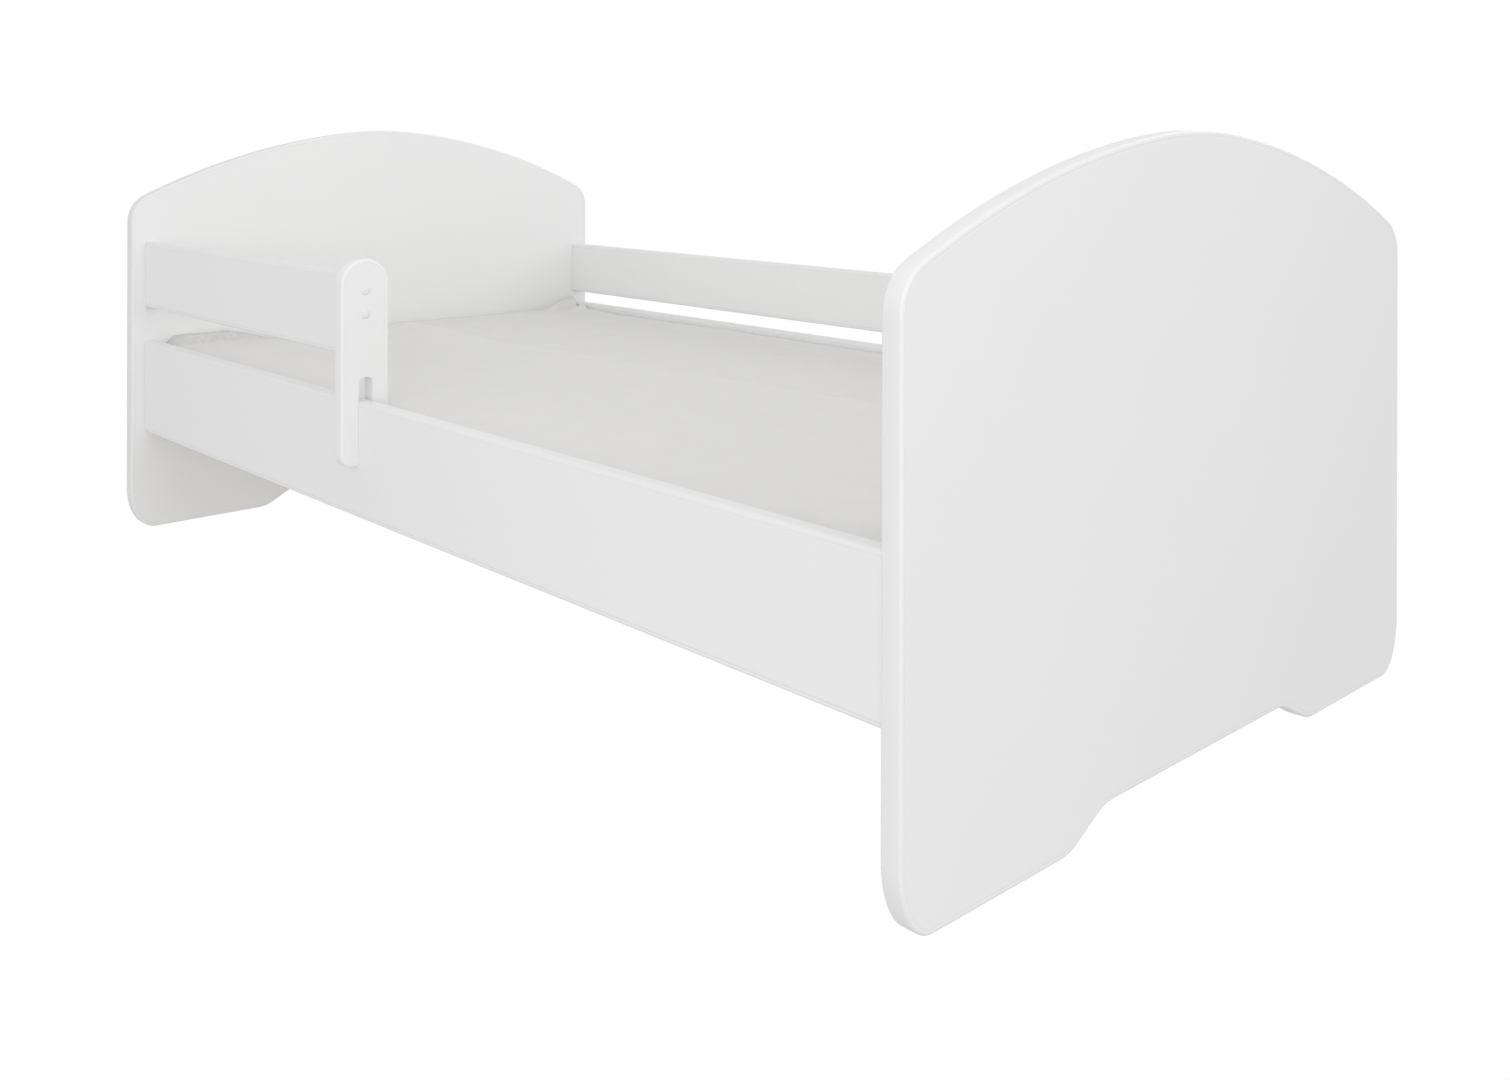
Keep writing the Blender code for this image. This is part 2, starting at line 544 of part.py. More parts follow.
# The foam gives way round the bracket's rear leg: an upright channel, open above and below
notch_back_y = -BOARD_Y + BRACKET_HALF_WIDTH + NOTCH_CLEARANCE
notch_front_y = -BOARD_Y
notch_size = (BRACKET_THICKNESS + 2 * NOTCH_CLEARANCE, notch_back_y - notch_front_y,
              2 * MATTRESS_THICKNESS)
notch_at = ((BRACKET_OUTER_X + BRACKET_INNER_X) / 2, (notch_back_y + notch_front_y) / 2,
            (MATTRESS_BOTTOM + MATTRESS_TOP) / 2)
cut(mattress, box(notch_size), notch_at)

# ---------------------------------------------------------------- barrier

barrier_length = BARRIER_RAIL_FOOT_X - BARRIER_RAIL_HEAD_X
barrier_rail = add_piece("barrier_rail", board((barrier_length, BOARD_THICKNESS, BARRIER_HEIGHT)),
                         ((BARRIER_RAIL_HEAD_X + BARRIER_RAIL_FOOT_X) / 2, -BOARD_Y,
                          (BARRIER_BOTTOM + BARRIER_TOP) / 2), "white_board", body=BARRIER)


def bracket_outline():
    """The fork that stands over the front board, about the board's mid-plane."""
    half = BRACKET_HALF_WIDTH
    slot_half = BOARD_THICKNESS / 2 + SLOT_CLEARANCE
    crown_z = BRACKET_TOP - half
    toe_z = BRACKET_LEG_BOTTOM + BRACKET_TOE_RADIUS
    roof_z = SLOT_TOP - SLOT_CORNER_RADIUS
    roof_y = slot_half - SLOT_CORNER_RADIUS
    quarter = math.pi / 2
    outline = arc((0.0, crown_z), half, 0.0, math.pi, 18)
    outline += arc((-half + BRACKET_TOE_RADIUS, toe_z), BRACKET_TOE_RADIUS, math.pi, 3 * quarter, 5)
    outline += [(-slot_half, BRACKET_LEG_BOTTOM)]
    outline += arc((-roof_y, roof_z), SLOT_CORNER_RADIUS, math.pi, quarter, 4)
    outline += arc((roof_y, roof_z), SLOT_CORNER_RADIUS, quarter, 0.0, 4)
    outline += [(slot_half, BRACKET_LEG_BOTTOM)]
    outline += arc((half - BRACKET_TOE_RADIUS, toe_z), BRACKET_TOE_RADIUS, -quarter, 0.0, 5)
    return outline


def outer_rims(bm, slot_half):
    """The bracket's rims, apart from those in its slot, which stay square."""
    rims = []
    for edge in bm.edges:
        first, second = edge.verts[0].co, edge.verts[1].co
        beside_slot = max(abs(first.y), abs(second.y)) < slot_half + GAP
        in_slot = beside_slot and max(first.z, second.z) < SLOT_TOP + GAP
        if abs(first.x - second.x) < BRACKET_THICKNESS / 2 and not in_slot:
            rims.append(edge)
    return rims


bracket_mesh = plate(bracket_outline(), BRACKET_THICKNESS)
bevel_edges(bracket_mesh, outer_rims(bracket_mesh, BOARD_THICKNESS / 2 + SLOT_CLEARANCE), EDGE_RADIUS)
bracket = add_piece("barrier_bracket", bracket_mesh,
                    ((BRACKET_OUTER_X + BRACKET_INNER_X) / 2, -BOARD_Y, 0.0), "white_board", body=BARRIER)


def fit_bracket_screw(level_name, z):
    """A long screw through the bracket into the rail's end, under a domed cap."""
    at = (BRACKET_OUTER_X, -BOARD_Y, z)
    turn = math.pi
    tip = BRACKET_THICKNESS + GAP + BRACKET_SCREW_GRIP
    head = (GAP + SCREW_HEAD_HEIGHT, SCREW_HEAD_RADIUS)
    cut(bracket, screw_bore(*head, BRACKET_THICKNESS + 2 * GAP, BRACKET_SCREW_RADIUS), at, turn)
    pilot = rod(BRACKET_THICKNESS, tip + BORE_CLEARANCE, BRACKET_SCREW_RADIUS + BORE_CLEARANCE)
    cut(barrier_rail, pilot, at, turn)
    body = screw(*head, tip, BRACKET_SCREW_RADIUS, SCREW_SOCKET_RADIUS, SCREW_SOCKET_DEPTH)
    add_piece("bracket_screw_" + level_name, body, at, "steel_fitting", body=BARRIER, turn=turn,
              smooth=True)
    dome_radius = (CAP_RADIUS ** 2 + CAP_RISE ** 2) / (2 * CAP_RISE)
    dome_half_angle = math.asin(CAP_RADIUS / dome_radius)
    dome = []
    for step in range(5):
        angle = dome_half_angle * step / 4
        dome.append((dome_radius - CAP_RISE - GAP - dome_radius * math.cos(angle),
                     dome_radius * math.sin(angle)))
    stem = [(-GAP, CAP_STEM_RADIUS), (CAP_STEM_LENGTH, CAP_STEM_RADIUS), (CAP_STEM_LENGTH, 0.0)]
    add_piece("bracket_cap_" + level_name, turned(dome + stem), at, "white_cap", body=BARRIER, turn=turn,
              smooth=True)


fit_bracket_screw("upper", BARRIER_TOP - BRACKET_SCREW_FROM_TOP)
fit_bracket_screw("lower", BARRIER_TOP - BRACKET_SCREW_FROM_TOP - BRACKET_SCREW_SPACING)

# ---------------------------------------------------------------- hanger at the head end

def hanger_plate_outline():
    """A strip with a slot that is open at its lower end, so that it drops over the pins."""
    half = HANGER_PLATE_WIDTH / 2
    slot = HANGER_SLOT_HALF_WIDTH
    low = BARRIER_BOTTOM + GAP
    outline = [(half, low), (half, HANGER_PLATE_TOP), (-half, HANGER_PLATE_TOP), (-half, low),
               (-slot, low)]
    outline += arc((0.0, HANGER_PIN_TOP_Z), slot, math.pi, 0.0, 8)
    outline += [(slot, low)]
    return outline


plate_x = BARRIER_RAIL_HEAD_X + HANGER_PLATE_THICKNESS / 2
hanger_plate = add_piece("barrier_hanger_plate", plate(hanger_plate_outline(), HANGER_PLATE_THICKNESS),
                         (plate_x, -BOARD_Y, 0.0), "steel_fitting", body=BARRIER)

# The rail's end is recessed for the plate, and grooved behind it for the pins' heads
recess_depth = HANGER_PLATE_THICKNESS + GAP
recess_low = BARRIER_BOTTOM - HANGER_CLEARANCE
recess_height = HANGER_PLATE_TOP + HANGER_CLEARANCE - recess_low
cut(barrier_rail, box((2 * recess_depth, HANGER_PLATE_WIDTH + 2 * HANGER_CLEARANCE, recess_height)),
    (BARRIER_RAIL_HEAD_X, -BOARD_Y, recess_low + recess_height / 2))
groove_depth = HANGER_GROOVE_DEPTH - GAP
groove_top = HANGER_PIN_TOP_Z + HANGER_GROOVE_HALF_WIDTH
groove_height = groove_top - recess_low
cut(barrier_rail, box((2 * groove_depth, 2 * HANGER_GROOVE_HALF_WIDTH, groove_height)),
    (BARRIER_RAIL_HEAD_X, -BOARD_Y, recess_low + groove_height / 2))

# One screw holds the plate
plate_screw_at = (BARRIER_RAIL_HEAD_X, -BOARD_Y, BARRIER_TOP - PLATE_SCREW_FROM_TOP)
plate_screw_head = (PLATE_SCREW_HEAD_HEIGHT, PLATE_SCREW_HEAD_RADIUS)
plate_screw_tip = HANGER_PLATE_THICKNESS + GAP + PLATE_SCREW_GRIP
plate_screw_pilot = rod(HANGER_PLATE_THICKNESS, plate_screw_tip + BORE_CLEARANCE,
                        PLATE_SCREW_RADIUS + BORE_CLEARANCE)
plate_screw_bore = screw_bore(*plate_screw_head, 2 * HANGER_PLATE_THICKNESS, PLATE_SCREW_RADIUS)
cut(hanger_plate, plate_screw_bore, plate_screw_at)
cut(barrier_rail, plate_screw_pilot, plate_screw_at)
add_piece("hanger_plate_screw", screw(*plate_screw_head, plate_screw_tip, PLATE_SCREW_RADIUS),
          plate_screw_at, "steel_fitting", body=BARRIER, smooth=True)


def fit_hanger_pin(level_name, z):
    """A headed pin in the headboard, whose head stands in the groove of the barrier rail."""
    at = (-INNER_HALF_LENGTH, -BOARD_Y, z)
    head_end = HANGER_HEAD_START + HANGER_PIN_HEAD_HEIGHT
    bore = rod(-HANGER_PIN_GRIP - BORE_CLEARANCE, 2 * GAP, HANGER_PIN_RADIUS + BORE_CLEARANCE)
    cut(PANELS[-1], bore, at)
    profile = [(-HANGER_PIN_GRIP, 0.0), (-HANGER_PIN_GRIP, HANGER_PIN_RADIUS),
               (HANGER_HEAD_START, HANGER_PIN_RADIUS), (HANGER_HEAD_START, HANGER_PIN_HEAD_RADIUS),
               (head_end, HANGER_PIN_HEAD_RADIUS), (head_end, 0.0)]
    add_piece("hanger_pin_" + level_name, turned(profile), at, "steel_fitting", smooth=True)


fit_hanger_pin("upper", HANGER_PIN_TOP_Z)
fit_hanger_pin("lower", HANGER_PIN_TOP_Z - HANGER_PIN_SPACING)
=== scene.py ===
# %% [markdown]
# # A low child's bed with a lift-off barrier
#
# This notebook dresses a finished mechanical model of a child's bed, which gives every piece
# its place and its real size in metres. Here each visible piece gets the soft edges, fine
# joint lines, fabric folds and surface finishes that make it look like the real bed.
#
# The bed points along X: the headboard is at the low end and the footboard at the high end.
# The open side with the barrier faces the low end of Y, and Z points up from the floor.

import json
import math

import bmesh
import bpy
from mathutils import Matrix, Vector, noise


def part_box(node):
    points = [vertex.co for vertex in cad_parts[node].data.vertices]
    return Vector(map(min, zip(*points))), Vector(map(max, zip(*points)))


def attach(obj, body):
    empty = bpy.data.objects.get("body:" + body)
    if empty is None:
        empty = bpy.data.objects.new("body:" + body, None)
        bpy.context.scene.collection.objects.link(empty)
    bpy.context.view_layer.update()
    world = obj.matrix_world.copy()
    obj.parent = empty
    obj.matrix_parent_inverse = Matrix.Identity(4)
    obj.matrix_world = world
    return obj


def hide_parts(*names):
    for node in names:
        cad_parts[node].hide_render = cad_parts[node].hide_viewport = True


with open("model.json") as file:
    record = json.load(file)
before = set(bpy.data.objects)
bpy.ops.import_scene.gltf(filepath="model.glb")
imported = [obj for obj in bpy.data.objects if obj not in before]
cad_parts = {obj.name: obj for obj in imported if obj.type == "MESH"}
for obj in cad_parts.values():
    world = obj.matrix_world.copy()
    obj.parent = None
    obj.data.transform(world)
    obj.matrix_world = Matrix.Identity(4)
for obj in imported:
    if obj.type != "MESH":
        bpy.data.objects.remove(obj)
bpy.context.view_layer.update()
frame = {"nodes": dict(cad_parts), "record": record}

# %% [markdown]
# ## The camera
#
# A bed is best shown from about the height of its own headboard, with the camera held level,
# so that upright edges stay upright. A level camera would put the horizon in the middle of
# the view; sliding the lens down, which is what a lens shift does, brings the bed into view
# without tilting anything. A wide lens close to the footboard makes the footboard large and
# lets the long side run away from us.

# %% Place the camera
PICTURE_WIDTH, PICTURE_HEIGHT = 1510, 1080
HORIZON_ROW = 134.86            # rows below the view's top edge
FOCAL_LENGTH_IN_COLUMNS = 1451.3
BEYOND_FOOTBOARD, BEFORE_FRONT, EYE_HEIGHT = 0.7451, 0.8473, 0.6333    # metres
TURN_TO_HEADBOARD, ROLL = 0.82229, 0.00237                             # radians

foot_low, foot_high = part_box("footboard")
camera = bpy.data.objects.new("camera", bpy.data.cameras.new("camera"))
bpy.context.scene.collection.objects.link(camera)
camera.data.sensor_width = 36.0
camera.data.lens = 36.0 * FOCAL_LENGTH_IN_COLUMNS / PICTURE_WIDTH
camera.data.shift_y = (HORIZON_ROW - PICTURE_HEIGHT / 2) / PICTURE_WIDTH
camera.data.clip_end = 100.0
camera.location = (foot_high.x + BEYOND_FOOTBOARD, foot_low.y - BEFORE_FRONT, EYE_HEIGHT)
level = Matrix.Rotation(math.radians(90.0), 3, 'X')
turn = Matrix.Rotation(TURN_TO_HEADBOARD, 3, 'Z')
tiny_roll = Matrix.Rotation(ROLL, 3, 'Z')
camera.rotation_euler = (turn @ level @ tiny_roll).to_euler()
bpy.context.scene.camera = camera
bpy.context.scene.view_settings.view_transform = 'Standard'
print("camera at", tuple(round(c, 3) for c in camera.location), "lens", round(camera.data.lens, 2), "mm")

# %% [markdown]
# ## The stage and the light
#
# White furniture is often shown on white, lit from everywhere at once. The pale floor and the
# surroundings glow softly, so light also reaches the underside of the boards, and a few
# large soft lamps add the gentle difference between the faces. Seen directly, floor and
# surroundings are plain white; what they throw on to the bed can be weaker than that,
# which the Light Path node allows: it knows whether the camera or the bed asks.

# %% Floor, surroundings and lamps
SURROUND_GLOW = 0.74
FLOOR_GLOW = 0.655


def white_to_camera(nodes, links, glow):
    """A strength that is one for the camera and the given glow for everything else."""
    path = nodes.new("ShaderNodeLightPath")
    strength = nodes.new("ShaderNodeMapRange")
    strength.inputs["To Min"].default_value = glow
    strength.inputs["To Max"].default_value = 1.0
    links.new(path.outputs["Is Camera Ray"], strength.inputs["Value"])
    return strength.outputs["Result"]


surroundings = bpy.data.worlds.new("white_surroundings")
surroundings.use_nodes = True
bpy.context.scene.world = surroundings
sky = surroundings.node_tree.nodes["Background"]
sky.inputs["Color"].default_value = (1.0, 1.0, 1.0, 1.0)
surroundings.node_tree.links.new(
    white_to_camera(surroundings.node_tree.nodes, surroundings.node_tree.links, SURROUND_GLOW),
    sky.inputs["Strength"])

bpy.ops.object.select_all(action='DESELECT')
bpy.ops.mesh.primitive_plane_add(size=40.0, location=(0.0, 0.0, 0.0))
floor = bpy.context.object
floor.name = "floor"
paper = bpy.data.materials.new("white_studio_paper")
paper.use_nodes = True
paper_nodes, paper_links = paper.node_tree.nodes, paper.node_tree.links
paper_shader = paper_nodes["Principled BSDF"]
paper_shader.inputs["Base Color"].default_value = (0.0, 0.0, 0.0, 1.0)
paper_shader.inputs["Specular IOR Level"].default_value = 0.0
paper_shader.inputs["Emission Color"].default_value = (1.0, 1.0, 1.0, 1.0)
paper_links.new(white_to_camera(paper_nodes, paper_links, FLOOR_GLOW),
                paper_shader.inputs["Emission Strength"])
floor.data.materials.append(paper)


def add_lamp(name, place, target, size, power):
    """A large square lamp that faces a point on the bed."""
    data = bpy.data.lights.new(name, 'AREA')
    data.shape = 'SQUARE'
    data.size = size
    data.energy = power
    lamp = bpy.data.objects.new(name, data)
    bpy.context.scene.collection.objects.link(lamp)
    lamp.location = place
    lamp.rotation_euler = (Vector(target) - Vector(place)).to_track_quat('-Z', 'Y').to_euler()


# each lamp: name, place, the point it faces, width (metres), power (watts)
LAMPS = [
    ("key_softbox", (2.2, -3.0, 1.0), (0.3, 0.0, 0.3), 2.0, 28.6),
    ("front_softbox", (-0.6, -3.2, 1.2), (-0.3, 0.0, 0.3), 2.0, 2.3),
    ("foot_softbox", (4.0, -0.6, 1.6), (0.0, 0.0, 0.3), 2.0, 15.0),
    ("high_foot_softbox", (1.9, 0.1, 2.2), (-0.8, 0.0, 0.4), 1.2, 1.0),
    ("inner_softbox", (1.0, -0.5, 1.7), (-0.8, 0.0, 0.4), 0.8, 1.4),
    ("top_softbox", (0.0, 0.0, 3.2), (0.0, 0.0, 0.3), 3.0, 5.6),
    ("back_softbox", (0.3, 3.0, 1.8), (0.0, 0.0, 0.3), 2.0, 21.0),
]
for lamp in LAMPS:
    add_lamp(*lamp)
print("lamps:", len(LAMPS))

# %% [markdown]
# ## Small helpers for working by hand
#
# Every new piece is made as at the keyboard: a primitive is added, parts are picked in edit
# mode by where they lie, and an ordinary tool is used on them. Picking is the one thing that a
# script has to do for itself, so it gets a helper.

# %% Picking, starting and finishing
def clear_selection():
    """Leave edit mode and deselect everything."""
    if bpy.context.object and bpy.context.object.mode != 'OBJECT':
        bpy.ops.object.mode_set(mode='OBJECT')
    bpy.ops.object.select_all(action='DESELECT')


def take(piece):
    """Select one piece and nothing else."""
    clear_selection()
    piece.select_set(True)
    bpy.context.view_layer.objects.active = piece


def edit(piece):
    """Select one piece and enter edit mode."""
    take(piece)
    bpy.ops.object.mode_set(mode='EDIT')


def pick(piece, kind, wanted):
    """In edit mode, select only the verts, edges or faces that pass a test; return how many."""
    bpy.ops.mesh.select_mode(type={"verts": 'VERT', "edges": 'EDGE', "faces": 'FACE'}[kind])
    mesh = bmesh.from_edit_mesh(piece.data)
    for group in (mesh.verts, mesh.edges, mesh.faces):
        for part in group:
            part.select_set(False)
    chosen = [part for part in getattr(mesh, kind) if wanted(part)]
    for part in chosen:
        part.select_set(True)
    bmesh.update_edit_mesh(piece.data)
    return len(chosen)


def add_block(name, low, high):
    """A cube stretched between two corners, with its place kept in its mesh."""
    clear_selection()
    low, high = Vector(low), Vector(high)
    bpy.ops.mesh.primitive_cube_add(size=1.0, location=(low + high) / 2)
    block = bpy.context.object
    block.name = block.data.name = name
    block.scale = high - low
    bpy.ops.object.transform_apply(location=True, rotation=False, scale=True)
    return block


def use_modifier(piece, kind, **settings):
    """Add a modifier, set it up and apply it."""
    take(piece)
    modifier = piece.modifiers.new(kind.lower(), kind)
    for key, value in settings.items():
        setattr(modifier, key, value)
    bpy.ops.object.modifier_apply(modifier=modifier.name)


def cut_away(piece, cutter):
    """Take a cutter's shape out of a piece, and throw the cutter away."""
    use_modifier(piece, 'BOOLEAN', operation='DIFFERENCE', solver='EXACT', object=cutter)
    bpy.data.objects.remove(cutter, do_unlink=True)


def smooth_rounds(piece, degrees=32.0):
    """Shade rounds smooth and leave real corners crisp."""
    take(piece)
    bpy.ops.object.shade_smooth_by_angle(angle=math.radians(degrees))


def count(piece):
    """How many faces a piece has, for the printed notes."""
    return len(piece.data.polygons)


# %% [markdown]
# ## The edge of a laminated board
#
# The bed is cut from white laminated board. Each edge carries a plastic band, glued on and
# milled round to about three millimetres, and where the band's milling ends there is a hair
# line that runs along the board a few millimetres from its edge. That line and the bright
# rounded edge are nearly all the detail that such a board has, so both are real geometry:
# a bevel for the round, and a groove a fifth of a millimetre deep for the line.

# %% Sizes that all the boards share
EDGE_RADIUS = 0.003
EDGE_STEPS = 5
LINE_DEPTH = 0.00021
LINE_HALF_WIDTH = 0.00065
LINE_FROM_UPPER_EDGE = 0.0061
LINE_FROM_LOWER_EDGE = 0.0049


# %% [markdown]
# ## Side boards and rails
#
# A side board starts as a block in the place that the frame gives. Bisecting cuts clean
# loops where the hair lines run, the four long edges are bevelled, and the middle of each
# line is then pressed into the board. Bisecting was chosen over insetting, because the line
# follows only the two banded long edges and runs out at the board's ends.

# %% Make one rounded board with its hair lines
def cut_loop(piece, point, normal):
    """Slice all of a piece with a plane, leaving a loop of edges."""
    bpy.ops.mesh.select_mode(type='FACE')
    bpy.ops.mesh.select_all(action='SELECT')
    bpy.ops.mesh.bisect(plane_co=point, plane_no=normal)


def make_board(node, name):
    """A board that runs along X, in the box of its frame node."""
    low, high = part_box(node)
    piece = add_block(name, low, high)
    edit(piece)
    lines = (low.z + LINE_FROM_LOWER_EDGE, high.z - LINE_FROM_UPPER_EDGE)
    for height in lines:
        for offset in (-2.0, -1.0, 0.0, 1.0, 2.0):
            cut_loop(piece, (0.0, 0.0, height + offset * LINE_HALF_WIDTH), (0.0, 0.0, 1.0))

    def long_edge(part):
        ends = [v.co for v in part.verts]
        at_corner = all(min(abs(c.z - low.z), abs(c.z - high.z)) < 1e-6 for c in ends)
        at_face = all(min(abs(c.y - low.y), abs(c.y - high.y)) < 1e-6 for c in ends)
        return at_corner and at_face and abs(ends[0].x - ends[1].x) > 0.01
    pick(piece, "edges", long_edge)
    bpy.ops.mesh.bevel(offset=EDGE_RADIUS, segments=EDGE_STEPS, profile=0.5, affect='EDGES')
    for face_y, inward in ((low.y, 1.0), (high.y, -1.0)):
        pick(piece, "verts", lambda v: abs(v.co.y - face_y) < 1e-6
             and min(abs(v.co.z - height) for height in lines) < 1e-6)
        bpy.ops.transform.translate(value=(0.0, inward * LINE_DEPTH, 0.0))
    smooth_rounds(piece)
    return piece


white_pieces = []
for node in ("front_side_board", "back_side_board", "back_guard_rail", "barrier_rail"):
    piece = make_board(node, node + "_finished")
    white_pieces.append((piece, node))
    print(piece.name, count(piece), "faces")

# %% [markdown]
# ## Seats for the cams
#
# The boards are held by cam fittings: a bolt from the end panel reaches into a round cam in
# the board's face. The cams are pieces of the frame already; the new boards only need the
# round seats that they sit in, which a cylinder cuts out with a Boolean. The same goes for
# the slot in the barrier rail's end, which drops over two pins in the headboard.

# %% Cut the cam seats and the hanger recess
SEAT_CLEARANCE = 0.0003
HANGER_CLEARANCE = 0.0004
PAST_THE_END = 0.01             # how far a cutter reaches beyond the board that it cuts


def add_peg(name, centre, radius, depth):
    """A cylinder that lies along Y, used as a cutter."""
    clear_selection()
    bpy.ops.mesh.primitive_cylinder_add(vertices=48, radius=radius, depth=depth, location=centre,
                                        rotation=(math.radians(90.0), 0.0, 0.0))
    peg = bpy.context.object
    peg.name = name
    bpy.ops.object.transform_apply(location=True, rotation=True, scale=True)
    return peg


for piece, node in white_pieces[:3]:
    board_low, board_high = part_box(node)
    stem = {"front_side_board": "front_", "back_side_board": "back_", "back_guard_rail": "back_rail_"}[node]
    cams = [n for n in frame["nodes"] if n.endswith("_cam") and n.startswith(stem)
            and board_low.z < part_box(n)[0].z < board_high.z]
    for cam in cams:
        cam_low, cam_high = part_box(cam)
        centre = (cam_low + cam_high) / 2
        outer = board_high.y if abs(cam_high.y - board_high.y) < 0.002 else board_low.y
        deep = cam_low.y if outer == board_high.y else cam_high.y
        reach = abs(outer - deep) + SEAT_CLEARANCE
        centre.y = outer
        radius = (cam_high.x - cam_low.x) / 2 + SEAT_CLEARANCE
        cut_away(piece, add_peg("seat_cutter", centre, radius, 2 * reach))
    smooth_rounds(piece)
    print(node, "has", len(cams), "cam seats")

barrier_rail = white_pieces[3][0]
plate_low, plate_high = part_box("barrier_hanger_plate")
pin_low, pin_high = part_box("hanger_pin_upper")
rail_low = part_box("barrier_rail")[0]
gap = Vector((1.0, 1.0, 1.0)) * HANGER_CLEARANCE
beyond = Vector((PAST_THE_END, 0.0, PAST_THE_END))
cut_away(barrier_rail, add_block("recess_cutter", plate_low - gap - beyond, plate_high + gap))
groove_start = Vector((rail_low.x, pin_low.y - HANGER_CLEARANCE, rail_low.z)) - beyond
cut_away(barrier_rail, add_block("groove_cutter", groove_start, pin_high + gap))
smooth_rounds(barrier_rail)
print("barrier rail recessed,", count(barrier_rail), "faces")

# %% [markdown]
# ## The end panels
#
# Headboard and footboard share one outline: a crown of two blended arcs, tight shoulders,
# upright sides, feet with a generous outer round and a shallow cut that clears a skirting
# board. The outline is drawn as a compass would draw it. One vertex starts at the crown,
# spin sweeps it along each arc about that arc's centre, and extrude takes it along the
# straight runs. Only one half is drawn, symmetrize gives the other, and the filled outline
# is extruded to the panel's thickness.

# %% Sizes of the outline
CROWN_RADIUS = 0.581
CROWN_HALF_ANGLE = math.radians(5.78)
FLANK_RADIUS = 1.0825
SHOULDER_RADIUS = 0.0464
FOOT_ROUND_WIDTH, FOOT_ROUND_HEIGHT = 0.039, 0.064
FLOOR_CUT_HALF_WIDTH, FLOOR_CUT_HEIGHT = 0.2212, 0.0287
FLOOR_CUT_SLOPE = math.radians(27.4)
FLOOR_CUT_FILLET = 0.055
PANEL_LINE_FROM_EDGE = 0.0052


# %% Draw a line with spin and extrude
def start_point(name, place):
    """A mesh of one vertex: a small plane, merged at its middle."""
    clear_selection()
    bpy.ops.mesh.primitive_plane_add(size=0.01, location=place)
    piece = bpy.context.object
    piece.name = piece.data.name = name
    bpy.ops.object.transform_apply(location=True, rotation=False, scale=False)
    bpy.ops.object.mode_set(mode='EDIT')
    bpy.ops.mesh.select_mode(type='VERT')
    bpy.ops.mesh.select_all(action='SELECT')
    bpy.ops.mesh.merge(type='CENTER')
    return piece


def sweep(centre, angle, steps):
    """Carry the picked vertex round a centre in the YZ plane; a positive angle turns Z towards Y."""
    bpy.ops.mesh.spin(steps=steps, dupli=False, angle=angle, center=centre, axis=(1.0, 0.0, 0.0))


def run(y, z):
    """Carry the picked vertex along a straight line."""
    bpy.ops.mesh.extrude_region_move(TRANSFORM_OT_translate={"value": (0.0, y, z)})


def pen(piece):
    """Where the picked vertex is now."""
    mesh = bmesh.from_edit_mesh(piece.data)
    return next(v.co.copy() for v in mesh.verts if v.select)


def draw_panel_outline(piece, x, height, half_width):
    """Half of the outline, from the crown down to the middle of the floor cut."""
    crown_centre = Vector((x, 0.0, height - CROWN_RADIUS))
    sweep(crown_centre, CROWN_HALF_ANGLE, 10)
    lean = Vector((0.0, math.sin(CROWN_HALF_ANGLE), math.cos(CROWN_HALF_ANGLE)))
    flank_centre = crown_centre + lean * (CROWN_RADIUS - FLANK_RADIUS)
    inner = FLANK_RADIUS - SHOULDER_RADIUS
    end_angle = math.asin((half_width - SHOULDER_RADIUS - flank_centre.y) / inner)
    sweep(flank_centre, end_angle - CROWN_HALF_ANGLE, 40)
    shoulder_centre = flank_centre + Vector((0.0, math.sin(end_angle), math.cos(end_angle))) * inner
    sweep(shoulder_centre, math.radians(90.0) - end_angle, 16)
    run(0.0, FOOT_ROUND_HEIGHT - shoulder_centre.z)
    sweep((x, half_width - FOOT_ROUND_HEIGHT, FOOT_ROUND_HEIGHT), math.radians(90.0), 20)
    pick(piece, "verts", lambda v: v.co.z < FOOT_ROUND_HEIGHT - 1e-4 and v.co.y > 0.2)
    bpy.ops.transform.resize(value=(1.0, FOOT_ROUND_WIDTH / FOOT_ROUND_HEIGHT, 1.0),
                             center_override=(x, half_width, 0.0))
    pick(piece, "verts", lambda v: v.co.z < 1e-4)
    tangent = FLOOR_CUT_FILLET * math.tan(FLOOR_CUT_SLOPE / 2)
    toe = FLOOR_CUT_HALF_WIDTH + tangent
    run(toe - pen(piece).y, 0.0)
    sweep((x, toe, FLOOR_CUT_FILLET), FLOOR_CUT_SLOPE, 8)
    heel = FLOOR_CUT_HALF_WIDTH - FLOOR_CUT_HEIGHT / math.tan(FLOOR_CUT_SLOPE) - tangent
    heel_centre = Vector((x, heel, FLOOR_CUT_HEIGHT - FLOOR_CUT_FILLET))
    upwards = Vector((0.0, math.sin(FLOOR_CUT_SLOPE), math.cos(FLOOR_CUT_SLOPE)))
    start = heel_centre + upwards * FLOOR_CUT_FILLET
    here = pen(piece)
    run(start.y - here.y, start.z - here.z)
    sweep(heel_centre, -FLOOR_CUT_SLOPE, 8)
    run(-pen(piece).y, 0.0)


# %% [markdown]
# A flat outline becomes a panel in four strokes: fill, extrude, bevel both rims, and inset
# the two large faces to draw the hair line. Insetting suits the panel, because here the
# line follows the whole outline. One last plain inset keeps the big face truly flat, so that
# smooth shading can't bend the light across it.

# %% Turn an outline into a rounded panel
def press_line(from_edge):
    """Inset the picked faces up to the hair line, press the line in, and come out again."""
    bpy.ops.mesh.inset(thickness=from_edge - EDGE_RADIUS - LINE_HALF_WIDTH, depth=0.0)
    bpy.ops.mesh.inset(thickness=LINE_HALF_WIDTH, depth=-LINE_DEPTH)
    bpy.ops.mesh.inset(thickness=LINE_HALF_WIDTH, depth=LINE_DEPTH)
    bpy.ops.mesh.inset(thickness=LINE_HALF_WIDTH, depth=0.0)


